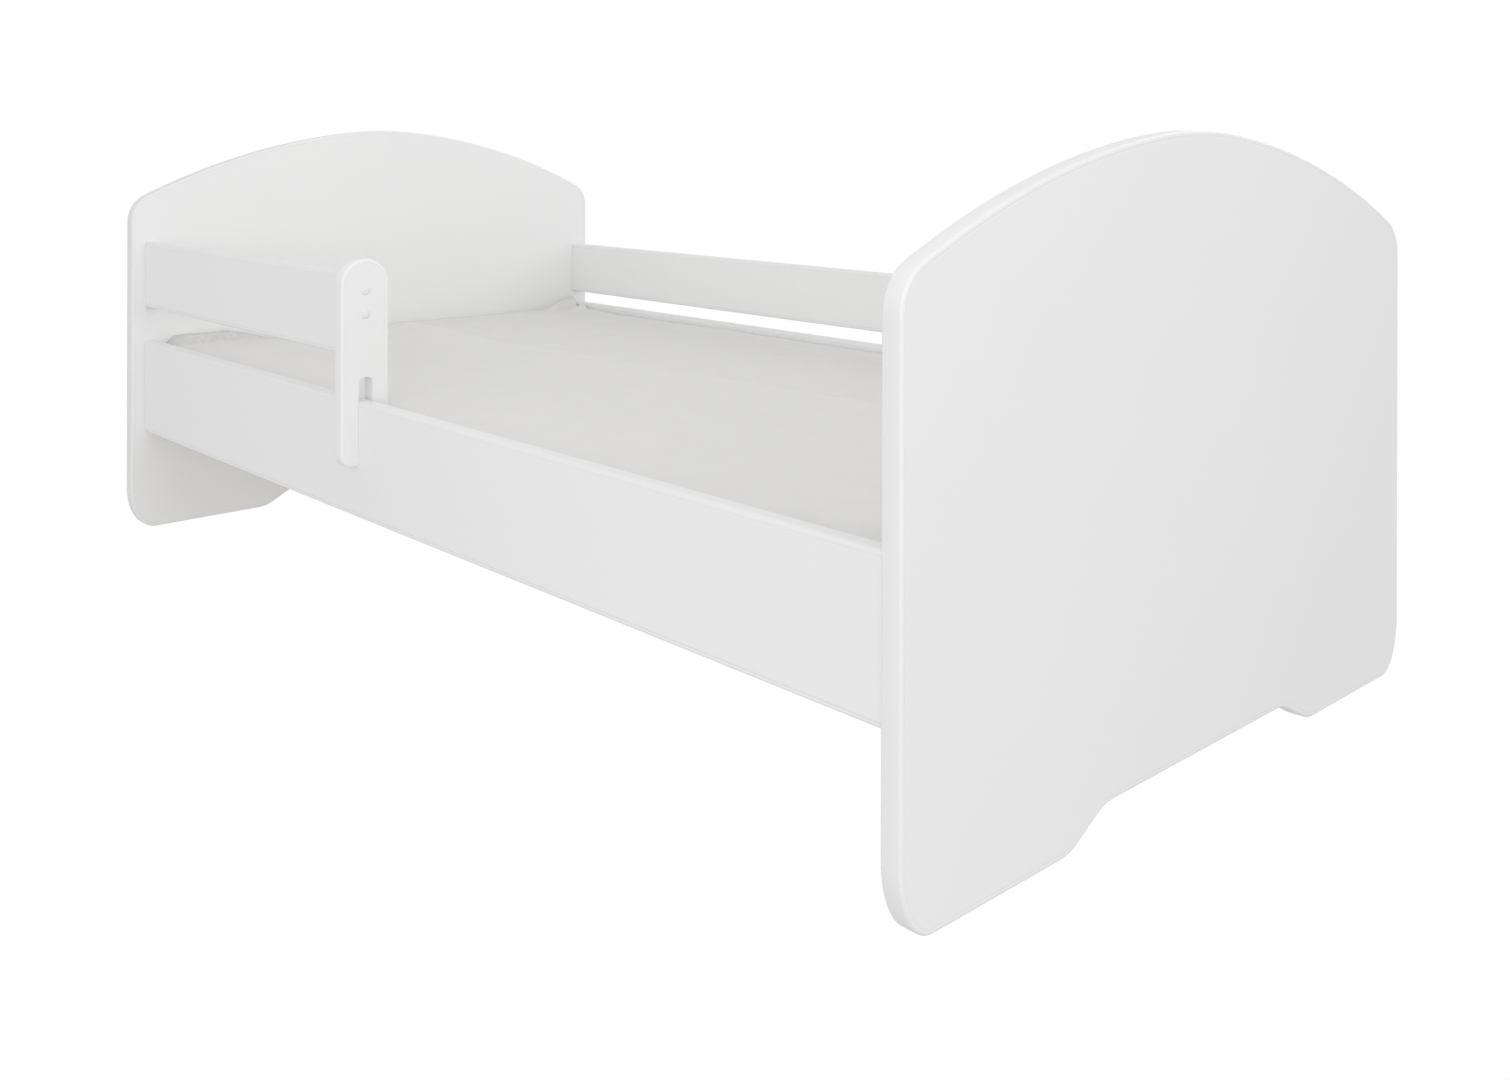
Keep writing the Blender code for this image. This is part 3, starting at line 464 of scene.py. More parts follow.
def thicken(piece, x_low, x_high, y_centre):
    """Fill the drawn half outline, mirror it, and give it thickness and round rims."""
    bpy.ops.mesh.select_all(action='SELECT')
    bpy.ops.mesh.symmetrize(direction='POSITIVE_Y')
    bpy.ops.mesh.select_all(action='SELECT')
    bpy.ops.mesh.remove_doubles(threshold=1e-6)
    bpy.ops.mesh.edge_face_add()
    bpy.ops.transform.translate(value=(0.0, y_centre, 0.0))
    bpy.ops.mesh.extrude_region_move(TRANSFORM_OT_translate={"value": (x_high - x_low, 0.0, 0.0)})
    bpy.ops.mesh.select_all(action='SELECT')
    bpy.ops.mesh.normals_make_consistent(inside=False)
    pick(piece, "edges", lambda e: abs(e.verts[0].co.x - e.verts[1].co.x) < 1e-6)
    bpy.ops.mesh.bevel(offset=EDGE_RADIUS, segments=EDGE_STEPS, profile=0.5, affect='EDGES')


def make_panel(node, name):
    """An end panel in the box of its frame node."""
    low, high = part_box(node)
    piece = start_point(name, (low.x, 0.0, high.z))
    draw_panel_outline(piece, low.x, high.z, (high.y - low.y) / 2)
    thicken(piece, low.x, high.x, (high.y + low.y) / 2)
    pick(piece, "faces", lambda f: abs(f.normal.x) > 0.999 and f.calc_area() > 0.1)
    press_line(PANEL_LINE_FROM_EDGE)
    smooth_rounds(piece)
    return piece


for node in ("headboard", "footboard"):
    piece = make_panel(node, node + "_finished")
    white_pieces.append((piece, node))
    low, high = piece.bound_box[0], piece.bound_box[6]
    print(piece.name, count(piece), "faces,", [round(high[i] - low[i], 4) for i in range(3)])

# %% [markdown]
# ## The barrier's bracket
#
# The bracket is a tongue of the same board that stands over the side board like a clothes
# peg. It is drawn whole, with a half-round top and rounded lower corners, and its hair line
# is pressed in while it is still whole. Only then is the slot cut, as the real one is milled
# after the shape: so the slot's own edges stay square and the line simply stops at them.

# %% Draw and cut the bracket
BRACKET_TOE_RADIUS = 0.015
SLOT_FRONT_HALF, SLOT_BACK_HALF = 0.00912, 0.00965    # the outer leg lies snug against the board
SLOT_TOP = 0.3296
SLOT_CORNER_RADIUS = 0.0065


def make_bracket(node, name):
    """The fork-shaped bracket, in the box of its frame node."""
    low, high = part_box(node)
    half = (high.y - low.y) / 2
    piece = start_point(name, (low.x, 0.0, high.z))
    sweep((low.x, 0.0, high.z - half), math.radians(90.0), 24)
    run(0.0, low.z + BRACKET_TOE_RADIUS - high.z + half)
    sweep((low.x, half - BRACKET_TOE_RADIUS, low.z + BRACKET_TOE_RADIUS), math.radians(90.0), 12)
    run(-(half - BRACKET_TOE_RADIUS), 0.0)
    thicken(piece, low.x, high.x, (high.y + low.y) / 2)
    pick(piece, "faces", lambda f: abs(f.normal.x) > 0.999 and f.calc_area() > 0.005)
    press_line(PANEL_LINE_FROM_EDGE)
    return piece


def make_slot_cutter(low, high):
    """A tall block with two rounded upper edges."""
    middle = (low.y + high.y) / 2
    cutter = add_block("slot_cutter",
                       (low.x - PAST_THE_END, middle - SLOT_FRONT_HALF, low.z - PAST_THE_END),
                       (high.x + PAST_THE_END, middle + SLOT_BACK_HALF, SLOT_TOP))
    edit(cutter)
    pick(cutter, "edges", lambda e: all(v.co.z > SLOT_TOP - 1e-6 for v in e.verts)
         and abs(e.verts[0].co.x - e.verts[1].co.x) > 0.005)
    bpy.ops.mesh.bevel(offset=SLOT_CORNER_RADIUS, segments=8, profile=0.5, affect='EDGES')
    return cutter


bracket = make_bracket("barrier_bracket", "barrier_bracket_finished")
bracket_low, bracket_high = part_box("barrier_bracket")
cut_away(bracket, make_slot_cutter(bracket_low, bracket_high))
smooth_rounds(bracket)
white_pieces.append((bracket, "barrier_bracket"))
print(bracket.name, count(bracket), "faces")

# %% [markdown]
# ## The screw caps
#
# Two small white caps cover the screws that hold the bracket to the rail. A cap is a shallow
# dome. Each starts as a sphere that is squashed along its axis. Its crown is widened a little,
# which makes the dome flatter in the middle, and the half behind the face is pressed flat.

# %% Shape the caps
CROWN_WIDENING = 1.06
CAP_BACK = 0.0005               # how far the flat back lies under the bracket's face


def make_cap(node, name):
    """A domed cap whose rim rests on the bracket's outer face."""
    low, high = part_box(node)
    centre = (low + high) / 2
    radius = (high.y - low.y) / 2
    face_x = bracket_high.x
    rise = high.x - face_x
    clear_selection()
    bpy.ops.mesh.primitive_uv_sphere_add(segments=40, ring_count=24, radius=radius,
                                         location=(face_x, centre.y, centre.z),
                                         rotation=(0.0, math.radians(90.0), 0.0))
    cap = bpy.context.object
    cap.name = cap.data.name = name
    bpy.ops.object.transform_apply(location=True, rotation=True, scale=True)
    edit(cap)
    bpy.ops.mesh.select_all(action='SELECT')
    bpy.ops.transform.resize(value=(rise / radius, 1.0, 1.0), center_override=(face_x, centre.y, centre.z))
    pick(cap, "faces", lambda f: f.calc_center_median().x > face_x + 0.55 * rise)
    bpy.ops.transform.resize(value=(1.0, CROWN_WIDENING, CROWN_WIDENING),
                             center_override=(face_x, centre.y, centre.z))
    pick(cap, "verts", lambda v: v.co.x < face_x - CAP_BACK)
    bpy.ops.transform.resize(value=(0.0, 1.0, 1.0),
                             center_override=(face_x - CAP_BACK, centre.y, centre.z))
    smooth_rounds(cap, 60.0)
    return cap


caps = []
for level_name in ("upper", "lower"):
    node = "bracket_cap_" + level_name
    cap = make_cap(node, node + "_finished")
    caps.append((cap, node))
print("caps:", [count(cap) for cap, node in caps])

# %% [markdown]
# ## The mattress
#
# A child's foam mattress wears a thin knitted cover that is a little too large for it. Foam
# makes it flat, the cover makes it soft: the edges swell, the corners pinch, and loose cloth
# stands up where it is tucked in at the head. The swelling is simulated. A block with rounded
# edges is remeshed into even cells, and cloth with air pressure inside pushes it outwards for a few
# frames. The movement is then capped, because foam hardly swells at all.

# %% Block out the foam
COVER_SWELL = 0.0045
FOAM_EDGE = 0.012
CELL = 0.012

cover_low, cover_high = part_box("mattress")
inset = Vector((1.0, 1.0, 0.0)) * (COVER_SWELL * 0.8)
cover = add_block("mattress_finished", cover_low + inset,
                  cover_high - inset - Vector((0.0, 0.0, COVER_SWELL * 0.8)))
edit(cover)
bpy.ops.mesh.select_all(action='SELECT')
bpy.ops.mesh.bevel(offset=FOAM_EDGE, segments=4, profile=0.5, affect='EDGES')
use_modifier(cover, 'REMESH', mode='VOXEL', voxel_size=CELL)
print("foam block:", count(cover), "faces")


# %% Swell the cover with cloth pressure
def swell(piece, frames, pressure, most):
    """Cloth with air inside, stepped and applied, with each point's movement capped."""
    before = [v.co.copy() for v in piece.data.vertices]
    take(piece)
    cloth = piece.modifiers.new("cover_cloth", 'CLOTH')
    settings = {"quality": 4, "mass": 0.25, "tension_stiffness": 20.0, "compression_stiffness": 20.0,
                "bending_stiffness": 1.0, "use_pressure": True, "uniform_pressure_force": pressure}
    for key, value in settings.items():
        setattr(cloth.settings, key, value)
    cloth.settings.effector_weights.gravity = 0.0
    cloth.point_cache.frame_start, cloth.point_cache.frame_end = 1, frames
    for step in range(1, frames + 1):
        bpy.context.scene.frame_set(step)
    bpy.ops.object.modifier_apply(modifier=cloth.name)
    bpy.context.scene.frame_set(1)
    furthest = 0.0
    for vertex, old in zip(piece.data.vertices, before):
        move = vertex.co - old
        furthest = max(furthest, move.length)
        if move.length > 1e-9:
            capped = most * (1.0 - math.exp(-move.length / most))
            vertex.co = old + move * (capped / move.length)
    return furthest


print("furthest swell before the cap:", round(swell(cover, 20, 1.0, COVER_SWELL), 4))
use_modifier(cover, 'SUBSURF', levels=1, render_levels=1)
print("cover:", count(cover), "faces")

# %% [markdown]
# Folds and pinches are finer than the cloth's cells, so the cover gets smaller faces where
# they are wanted: at the two head corners, along the headboard, and at the pinched front corner
# by the footboard.

# each fold: start, end, height at the start, height at the end, width (metres)
FOLDS = [
    ((-0.672, 0.240), (-0.802, 0.416), 0.0020, 0.0240, 0.0130),
    ((-0.679, 0.309), (-0.760, 0.412), 0.0010, 0.0075, 0.0100),
    ((-0.720, 0.333), (-0.781, 0.412), -0.0010, -0.0040, 0.0070),
    ((-0.640, 0.205), (-0.730, 0.290), -0.0004, -0.0016, 0.0120),
    ((0.584, -0.326), (0.676, -0.372), 0.0005, 0.0045, 0.0110),
    ((0.596, -0.352), (0.640, -0.374), -0.0015, -0.0060, 0.0120),
    ((0.640, -0.336), (0.706, -0.348), -0.0010, -0.0050, 0.0120),
    ((0.700, -0.345), (0.724, -0.364), -0.0040, -0.0150, 0.0110),
    ((0.590, -0.150), (0.780, -0.345), 0.0000, 0.0050, 0.0220),
    ((0.560, -0.150), (0.715, -0.335), 0.0000, -0.0022, 0.0200),
]
# each wrinkle: start, end and half its depth (metres); all have the same width
WRINKLES = [
    ((-0.545, 0.040), (-0.497, 0.070), 0.0009),
    ((-0.315, 0.024), (-0.215, 0.034), 0.0007),
    ((-0.060, -0.120), (0.055, -0.089), 0.0006),
    ((-0.014, -0.107), (0.058, -0.095), 0.0003),
    ((-0.307, 0.035), (-0.189, 0.062), 0.0004),
    ((-0.040, 0.121), (0.002, 0.117), 0.0010),
    ((-0.242, 0.272), (-0.196, 0.320), 0.0009),
    ((-0.080, 0.262), (-0.040, 0.330), 0.0006),
    ((0.160, 0.100), (0.300, 0.118), 0.0006),
    ((0.170, 0.125), (0.290, 0.140), 0.0005),
    ((-0.640, -0.060), (-0.540, -0.150), 0.0005),
    ((-0.700, -0.150), (-0.600, -0.220), 0.0006),
    ((-0.520, 0.130), (-0.420, 0.230), 0.0007),
    ((-0.560, 0.180), (-0.470, 0.300), 0.0006),
    ((-0.610, 0.290), (-0.520, 0.370), 0.0008),
    ((-0.440, 0.200), (-0.330, 0.270), 0.0006),
    ((-0.330, 0.300), (-0.230, 0.380), 0.0005),
    ((0.020, 0.210), (0.130, 0.260), 0.0005),
    ((0.060, 0.300), (0.170, 0.330), 0.0005),
]
WRINKLE_WIDTH = 0.0050


def along(x, y, start, end):
    """How far along a line a point lies, from 0 to 1, and how far it is from the line."""
    run_x, run_y = end[0] - start[0], end[1] - start[1]
    length = run_x * run_x + run_y * run_y
    t = ((x - start[0]) * run_x + (y - start[1]) * run_y) / length
    held = min(1.0, max(0.0, t))
    return held, math.hypot(x - start[0] - held * run_x, y - start[1] - held * run_y)


# %% Finer faces where the cover folds
foot_x, head_x = cover_high.x, cover_low.x
front_y, back_y = cover_low.y, cover_high.y
edit(cover)


def fine_region(face):
    """The parts of the top that carry folds."""
    c = face.calc_center_median()
    if c.z < cover_high.z - 0.03:
        return False
    by_head = c.x < head_x + 0.035
    back_corner = c.x < head_x + 0.15 and c.y > back_y - 0.19
    front_corner = c.x > foot_x - 0.26 and c.y < front_y + 0.11
    if by_head or back_corner or front_corner:
        return True
    return any(along(c.x, c.y, wrinkle[0], wrinkle[1])[1] < 0.012 for wrinkle in WRINKLES)


print("finer faces:", pick(cover, "faces", fine_region))
bpy.ops.mesh.subdivide(number_cuts=1, smoothness=0.0)
clear_selection()


# %% [markdown]
# Each fold is described by the line it follows, its height at both ends and its width. The
# height falls away to both sides as a bell curve does, which is close to how thin cloth over
# foam really bends. A negative height is a pinch that is pulled down instead.

# %% Lay the folds
def bell(distance, width):
    """One at the middle, falling smoothly to nothing."""
    return math.exp(-(distance / width) ** 2)


def ramp(value, low, high):
    """Zero below low, one above high, smooth between."""
    t = min(1.0, max(0.0, (value - low) / (high - low)))
    return t * t * (3.0 - 2.0 * t)


SHEET_LINE_START, SHEET_LINE_SLOPE = 0.0280, 0.058    # the long crease: y at the head, and its drift


def sheet_line(x):
    """Where the long crease lies at a given place along the bed."""
    return SHEET_LINE_START + SHEET_LINE_SLOPE * (x - head_x)


def cover_height(x, y):
    """All that the loose cover adds to the foam's flat top, in metres."""
    height = 0.0
    for start, end, first, last, width in FOLDS:
        t, distance = along(x, y, start, end)
        if distance < 3.0 * width:
            height += (first + (last - first) * t ** 1.2) * bell(distance, width)
    for start, end, depth in WRINKLES:
        t, distance = along(x, y, start, end)
        if distance < 3.0 * WRINKLE_WIDTH:
            height -= 2.0 * depth * math.sin(math.pi * t) ** 0.5 * bell(distance, WRINKLE_WIDTH)
    behind = y - sheet_line(x)
    height -= 0.0015 * (1.0 - math.exp(-behind / 0.030)) if behind > 0.0 else 0.0
    by_back, by_head = ramp(y, 0.05, 0.38), ramp(-x, 0.45, 0.79) * ramp(y, -0.22, 0.05)
    height += 0.0080 * (1.0 - (1.0 - by_back) * (1.0 - by_head))
    restless = 0.35 + 0.65 * ramp(behind, -0.25, 0.10) * ramp(-x, -0.5, 0.4)
    height += 0.0010 * noise.noise(Vector((x * 5.0, y * 8.0, 0.3)))
    height += 0.0007 * restless * noise.noise(Vector((x * 13.0 + y * 9.0, y * 42.0, 1.7)))
    return height


def head_tuck(x, y):
    """Cloth that stands up against the headboard at the front corner."""
    reach = ramp(y, front_y - 0.005, front_y + 0.020) * (1.0 - ramp(y, -0.300, -0.185))
    crumple = 1.0 + 0.12 * noise.noise(Vector((y * 60.0, 4.0, 0.0)))
    return 0.0215 * reach * crumple * (1.0 - ramp(x, head_x + 0.0010, head_x + 0.0120))


# where each side of the cover starts to be stretched outwards, and how far its rim goes
BACK_START, BACK_STRETCH = back_y - 0.075, 0.030
FRONT_START, FRONT_STRETCH = 0.320, 0.026
FOOT_START, FOOT_STRETCH = foot_x - 0.06, 0.022
HEAD_START, HEAD_STRETCH = 0.725, 0.027

top_start, top_full = cover_high.z - 0.030, cover_high.z - 0.010
for vertex in cover.data.vertices:
    place = vertex.co
    place.y += BACK_STRETCH * ramp(place.y, BACK_START, back_y)\
        - FRONT_STRETCH * ramp(-place.y, FRONT_START, -front_y)
    place.x += FOOT_STRETCH * ramp(place.x, FOOT_START, foot_x)\
        - HEAD_STRETCH * ramp(-place.x, HEAD_START, -head_x)
    share = ramp(place.z, top_start, top_full)
    if share > 0.0:
        place.z += share * (cover_height(place.x, place.y) + head_tuck(place.x, place.y))
print("folds:", len(FOLDS), "wrinkles:", len(WRINKLES))

# %% [markdown]
# A soft thing takes the room it is given. The cover presses towards the boards but keeps a
# hair's breadth from them, and it yields round the bracket's inner leg, which stands between
# the mattress and the side board. Pressing points back to those limits one axis at a time does
# this without a second simulation, and it leaves the barrier free to lift out.

# %% Keep the cover inside the frame and clear of the bracket
HAIR = 0.0008
front_board_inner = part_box("front_side_board")[1].y
back_board_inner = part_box("back_side_board")[0].y
head_inner, foot_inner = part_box("headboard")[1].x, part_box("footboard")[0].x
leg_low, leg_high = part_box("barrier_bracket")

for vertex in cover.data.vertices:
    place = vertex.co
    beside_leg = bell(max(0.0, abs(place.x - (leg_low.x + leg_high.x) / 2) - 0.0125), 0.012)
    near_limit = front_board_inner + HAIR
    near_limit += beside_leg * (leg_high.y + 0.0015 - near_limit)
    place.y = min(max(place.y, near_limit), back_board_inner - HAIR)
    place.x = min(max(place.x, head_inner + HAIR), foot_inner - HAIR)
    if beside_leg > 0.0 and place.z > cover_high.z - 0.02:
        place.z -= 0.003 * beside_leg * bell(max(0.0, place.y - leg_high.y), 0.018)
cover.data.update()
smooth_rounds(cover, 180.0)
print("cover box:", [[round(c, 4) for c in cover.bound_box[i]] for i in (0, 6)])

# %% [markdown]
# ## Finishes
#
# A finish is a material made of nodes. Three effects are shared by several finishes, so each
# is a node group with named sockets: a fine unevenness, wood grain and woven threads. A group
# only hands out numbers and colours that change over the surface; the shader itself stays in
# each material, where its constants are set on its own sockets.

# %% Helpers for groups and materials
def new_group(name, inputs, outputs):
    """An empty node group with its sockets; gives the group and its two end nodes."""
    group = bpy.data.node_groups.new(name, 'ShaderNodeTree')
    for label, kind, value in inputs:
        socket = group.interface.new_socket(label, in_out='INPUT', socket_type="NodeSocket" + kind)
        if kind != "Vector":
            socket.default_value = value
    for label, kind in outputs:
        group.interface.new_socket(label, in_out='OUTPUT', socket_type="NodeSocket" + kind)
    return group, group.nodes.new("NodeGroupInput"), group.nodes.new("NodeGroupOutput")


def put(tree, kind, links=None, **values):
    """Add a node, set its properties and socket values, and link its inputs."""
    node = tree.nodes.new(kind)
    for key, value in values.items():
        if hasattr(node, key):
            setattr(node, key, value)
        else:
            node.inputs[key.replace("_", " ")].default_value = value
    for key, output in (links or {}).items():
        tree.links.new(output, node.inputs[key])
    return node


def maths(tree, operation, first, second):
    """A Math node; each side is a number or another node's output."""
    node = tree.nodes.new("ShaderNodeMath")
    node.operation = operation
    for socket, value in zip(node.inputs, (first, second)):
        if isinstance(value, (int, float)):
            socket.default_value = value
        else:
            tree.links.new(value, socket)
    return node.outputs[0]


def blend_colours(tree, mask, first, second):
    """Two colours mixed by a mask; each is a tuple or another node's output."""
    node = tree.nodes.new("ShaderNodeMix")
    node.data_type = 'RGBA'
    tree.links.new(mask, node.inputs["Factor"])
    for socket, value in ((node.inputs[6], first), (node.inputs[7], second)):
        if isinstance(value, tuple):
            socket.default_value = (*value, 1.0)
        else:
            tree.links.new(value, socket)
    return node.outputs[2]


# %% Group: fine unevenness
unevenness, ends_in, ends_out = new_group(
    "fine_unevenness",
    [("Position", "Vector", None), ("Cells per Metre", "Float", 100.0), ("Low", "Float", 0.4),
     ("High", "Float", 0.5)],
    [("Spread", "Float"), ("Height", "Float")])
cells = put(unevenness, "ShaderNodeTexNoise", Detail=3.0, Roughness=0.55,
            links={"Vector": ends_in.outputs["Position"], "Scale": ends_in.outputs["Cells per Metre"]})
spread = put(unevenness, "ShaderNodeMapRange", From_Min=0.3, From_Max=0.7,
             links={"Value": cells.outputs["Fac"], "To Min": ends_in.outputs["Low"],
                    "To Max": ends_in.outputs["High"]})
unevenness.links.new(spread.outputs["Result"], ends_out.inputs["Spread"])
unevenness.links.new(cells.outputs["Fac"], ends_out.inputs["Height"])

# %% Group: wood grain
grain, ends_in, ends_out = new_group(
    "wood_grain",
    [("Position", "Vector", None), ("Rings per Metre", "Float", 40.0), ("Early Wood", "Color", (1, 1, 1, 1)),
     ("Late Wood", "Color", (0.5, 0.5, 0.5, 1)), ("Fleck", "Float", 0.3)],
    [("Color", "Color"), ("Height", "Float")])
rings = put(grain, "ShaderNodeTexWave", wave_type='RINGS', rings_direction='X', wave_profile='SAW',
            Distortion=4.0, Detail=3.0, Detail_Scale=1.5,
            links={"Vector": ends_in.outputs["Position"], "Scale": ends_in.outputs["Rings per Metre"]})
pores = put(grain, "ShaderNodeTexNoise", Scale=420.0, Detail=2.0,
            links={"Vector": ends_in.outputs["Position"]})
fleck = maths(grain, 'MULTIPLY', pores.outputs["Fac"], ends_in.outputs["Fleck"])
late = maths(grain, 'ADD', maths(grain, 'MULTIPLY', rings.outputs["Fac"], 0.7), fleck)
grain.links.new(blend_colours(grain, late, ends_in.outputs["Early Wood"], ends_in.outputs["Late Wood"]),
                ends_out.inputs["Color"])
grain.links.new(late, ends_out.inputs["Height"])

# %% Group: woven threads
weave, ends_in, ends_out = new_group(
    "woven_threads",
    [("Position", "Vector", None), ("Threads per Metre", "Float", 600.0)],
    [("Mask", "Float"), ("Height", "Float")])
warp, weft = [
    put(weave, "ShaderNodeTexWave", wave_type='BANDS', bands_direction=across, Distortion=0.4, Detail=1.0,
        links={"Vector": ends_in.outputs["Position"], "Scale": ends_in.outputs["Threads per Metre"]})
    for across in "XY"]
crossing = maths(weave, 'MULTIPLY', warp.outputs["Fac"], weft.outputs["Fac"])
higher = maths(weave, 'MAXIMUM', warp.outputs["Fac"], weft.outputs["Fac"])
weave.links.new(crossing, ends_out.inputs["Mask"])
weave.links.new(higher, ends_out.inputs["Height"])
print("shared groups:", [g.name for g in bpy.data.node_groups])


# %% A material's first nodes
def new_finish(name):
    """A material with its shader and its object coordinates."""
    finish = bpy.data.materials.new(name)
    finish.use_nodes = True
    tree = finish.node_tree
    shader = tree.nodes["Principled BSDF"]
    position = tree.nodes.new("ShaderNodeTexCoord").outputs["Object"]
    return finish, tree, shader, position


def stretched(tree, position, scale):
    """Object coordinates stretched along the grain."""
    return put(tree, "ShaderNodeMapping", Scale=scale, links={"Vector": position}).outputs["Vector"]


def group_node(tree, group, links, **values):
    """Place a shared group with its own values."""
    node = tree.nodes.new("ShaderNodeGroup")
    node.node_tree = group
    for key, output in links.items():
        tree.links.new(output, node.inputs[key])
    for key, value in values.items():
        node.inputs[key.replace("_", " ")].default_value = value
    return node


def raise_surface(tree, shader, height, depth, strength=1.0):
    """A Bump node from a height to the shader's normal."""
    bump = put(tree, "ShaderNodeBump", Strength=strength, Distance=depth, links={"Height": height})
    tree.links.new(bump.outputs["Normal"], shader.inputs["Normal"])


def colour_between(tree, shader, mask, first, second):
    """A base colour that a mask mixes from two colours."""
    tree.links.new(blend_colours(tree, mask, first, second), shader.inputs["Base Color"])


def uneven_gloss(tree, shader, position, cells_per_metre, low, high):
    """A roughness that wanders between two values."""
    fine = group_node(tree, unevenness, {"Position": position},
                      Cells_per_Metre=cells_per_metre, Low=low, High=high)
    tree.links.new(fine.outputs["Spread"], shader.inputs["Roughness"])
    return fine


# %% [markdown]
# ### White laminate
#
# Laminate looks plain, but it isn't: the pressing plate leaves a very fine orange-peel, the
# gloss wanders a little, and so does the white. All three are kept weak. The hair lines take
# a slightly greyer version of the same finish: partly a line of glue and dust that collects there,
# partly painted shade of the groove, painted much darker on the lower lines than on the upper
# ones. The plastic band on the narrow faces and rounded edges is a touch greyer than the laminate:
# partly its own colour, partly painted shade that tones down the faces that catch the most light.

# %% White laminate and its joint lines
def make_laminate(name, dark_white, light_white):
    """Satin white laminate between two very close whites."""
    finish, tree, shader, position = new_finish(name)
    broad = group_node(tree, unevenness, {"Position": position}, Cells_per_Metre=3.0, Low=0.0, High=1.0)
    fine = uneven_gloss(tree, shader, position, 700.0, 0.40, 0.50)
    colour_between(tree, shader, broad.outputs["Spread"], dark_white, light_white)
    raise_surface(tree, shader, fine.outputs["Height"], 0.00004, 0.5)
    return finish


laminate = make_laminate("white_laminate", (0.845,) * 3, (0.855,) * 3)
# the hair lines' greyer whites are partly glue and dust, partly painted shade of the groove; the lower
# lines' much darker white is mostly painted shade
faint_joint = make_laminate("band_joint_faint", (0.825, 0.825, 0.823), (0.835, 0.835, 0.833))
lower_joint_painted_shade = make_laminate("band_joint", (0.755, 0.755, 0.75), (0.77, 0.77, 0.765))
# the band's greyer white is partly its own colour, partly painted shade that tones down tops and rounds,
# which catch the most light
edge_band = make_laminate("edge_band", (0.808,) * 3, (0.818,) * 3)
FAINT_JOINT, LOWER_JOINT_PAINTED_SHADE, EDGE_BAND = 1, 2, 3    # places in a piece's list of finishes
EDGE_LEAN = 0.93                # faces that lean further than this from a flat side are its edge
JOINT_LEAN = (0.94, 0.965)      # the sloping sides of a hair line lean by this little


def is_joint_face(polygon, along_bed):
    """The sloping sides of a hair line; no other outer face of a board leans by that little."""
    along_flat, aside, most_aside = (
        (polygon.normal.y, polygon.normal.x, 0.01) if along_bed
        else (polygon.normal.x, polygon.normal.y, 0.35))
    return JOINT_LEAN[0] < abs(along_flat) < JOINT_LEAN[1] and abs(aside) < most_aside


for piece, node in white_pieces:
    for finish in (laminate, faint_joint, lower_joint_painted_shade, edge_band):
        piece.data.materials.append(finish)
    middle = sum(corner.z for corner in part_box(node)) / 2
    runs_along_bed = node.endswith(("side_board", "rail"))
    lines = [polygon for polygon in piece.data.polygons if is_joint_face(polygon, runs_along_bed)]
    for polygon in lines:
        # the lower hair lines of side boards and rails take the darker painted shade
        lower_line = runs_along_bed and polygon.center.z < middle
        polygon.material_index = LOWER_JOINT_PAINTED_SHADE if lower_line else FAINT_JOINT
    # narrow faces, tops and rounded edges take the band's white, which carries painted shade
    for polygon in piece.data.polygons:
        along_flat = polygon.normal.y if runs_along_bed else polygon.normal.x
        if node != "barrier_bracket" and abs(along_flat) < EDGE_LEAN:
            polygon.material_index = EDGE_BAND
    print(node, "has", len(lines), "faces in its hair lines")

# %% [markdown]
# ### Mattress cover
#
# The cover is a thin warm off-white knit. Behind the long crease its colour is painted a touch
# darker: painted shade of the side that falls away there. The colour difference follows the crease
# by its place on the mattress, and the knit itself is a bump about a millimetre across.

# %% Knitted cover
def smooth_step(tree, value, low, high):
    """A soft edge between two values; the values may also fall."""
    return put(tree, "ShaderNodeMapRange", interpolation_type='SMOOTHSTEP', From_Min=low, From_Max=high,
               links={"Value": value}).outputs["Result"]


cover_finish, tree, shader, position = new_finish("knitted_cover")
axes = put(tree, "ShaderNodeSeparateXYZ", links={"Vector": position})
line_y = maths(tree, 'ADD', maths(tree, 'MULTIPLY', axes.outputs["X"], SHEET_LINE_SLOPE),
               SHEET_LINE_START - SHEET_LINE_SLOPE * head_x)
behind_line = maths(tree, 'SUBTRACT', axes.outputs["Y"], line_y)
# behind the long crease the cover's colour is painted darker, as painted shade
painted_shade_behind_crease = smooth_step(tree, behind_line, -0.001, 0.003)
knit = group_node(tree, weave, {"Position": position}, Threads_per_Metre=280.0)
mottle = group_node(tree, unevenness, {"Position": position}, Cells_per_Metre=24.0, Low=0.0, High=1.0)
cover_colour_before_crease = blend_colours(tree, mottle.outputs["Spread"], (0.727, 0.721, 0.706), (0.741, 0.735, 0.720))
cover_colour_painted_shade = blend_colours(tree, mottle.outputs["Spread"], (0.706, 0.700, 0.685), (0.720, 0.714, 0.699))
# the cloth standing up at the headboard's front corner is painted darker and mottled: painted shade of the
# tuck and its wrinkles
near_head = smooth_step(tree, axes.outputs["X"], -0.7890, -0.7925)
in_tuck = smooth_step(tree, axes.outputs["Y"], -0.190, -0.230)
tuck_shade_mask = maths(tree, 'MULTIPLY', near_head, in_tuck)
tuck_shade_mottle = group_node(tree, unevenness, {"Position": position}, Cells_per_Metre=130.0, Low=0.0, High=1.0)
tuck_painted_shade = blend_colours(tree, tuck_shade_mottle.outputs["Spread"], (0.600, 0.594, 0.580), (0.690, 0.684, 0.670))
flat_colour = blend_colours(tree, painted_shade_behind_crease, cover_colour_before_crease, cover_colour_painted_shade)
colour_between(tree, shader, tuck_shade_mask, flat_colour, tuck_painted_shade)
uneven_gloss(tree, shader, position, 150.0, 0.80, 0.95)
shader.inputs["Sheen Weight"].default_value = 0.10
shader.inputs["Specular IOR Level"].default_value = 0.25
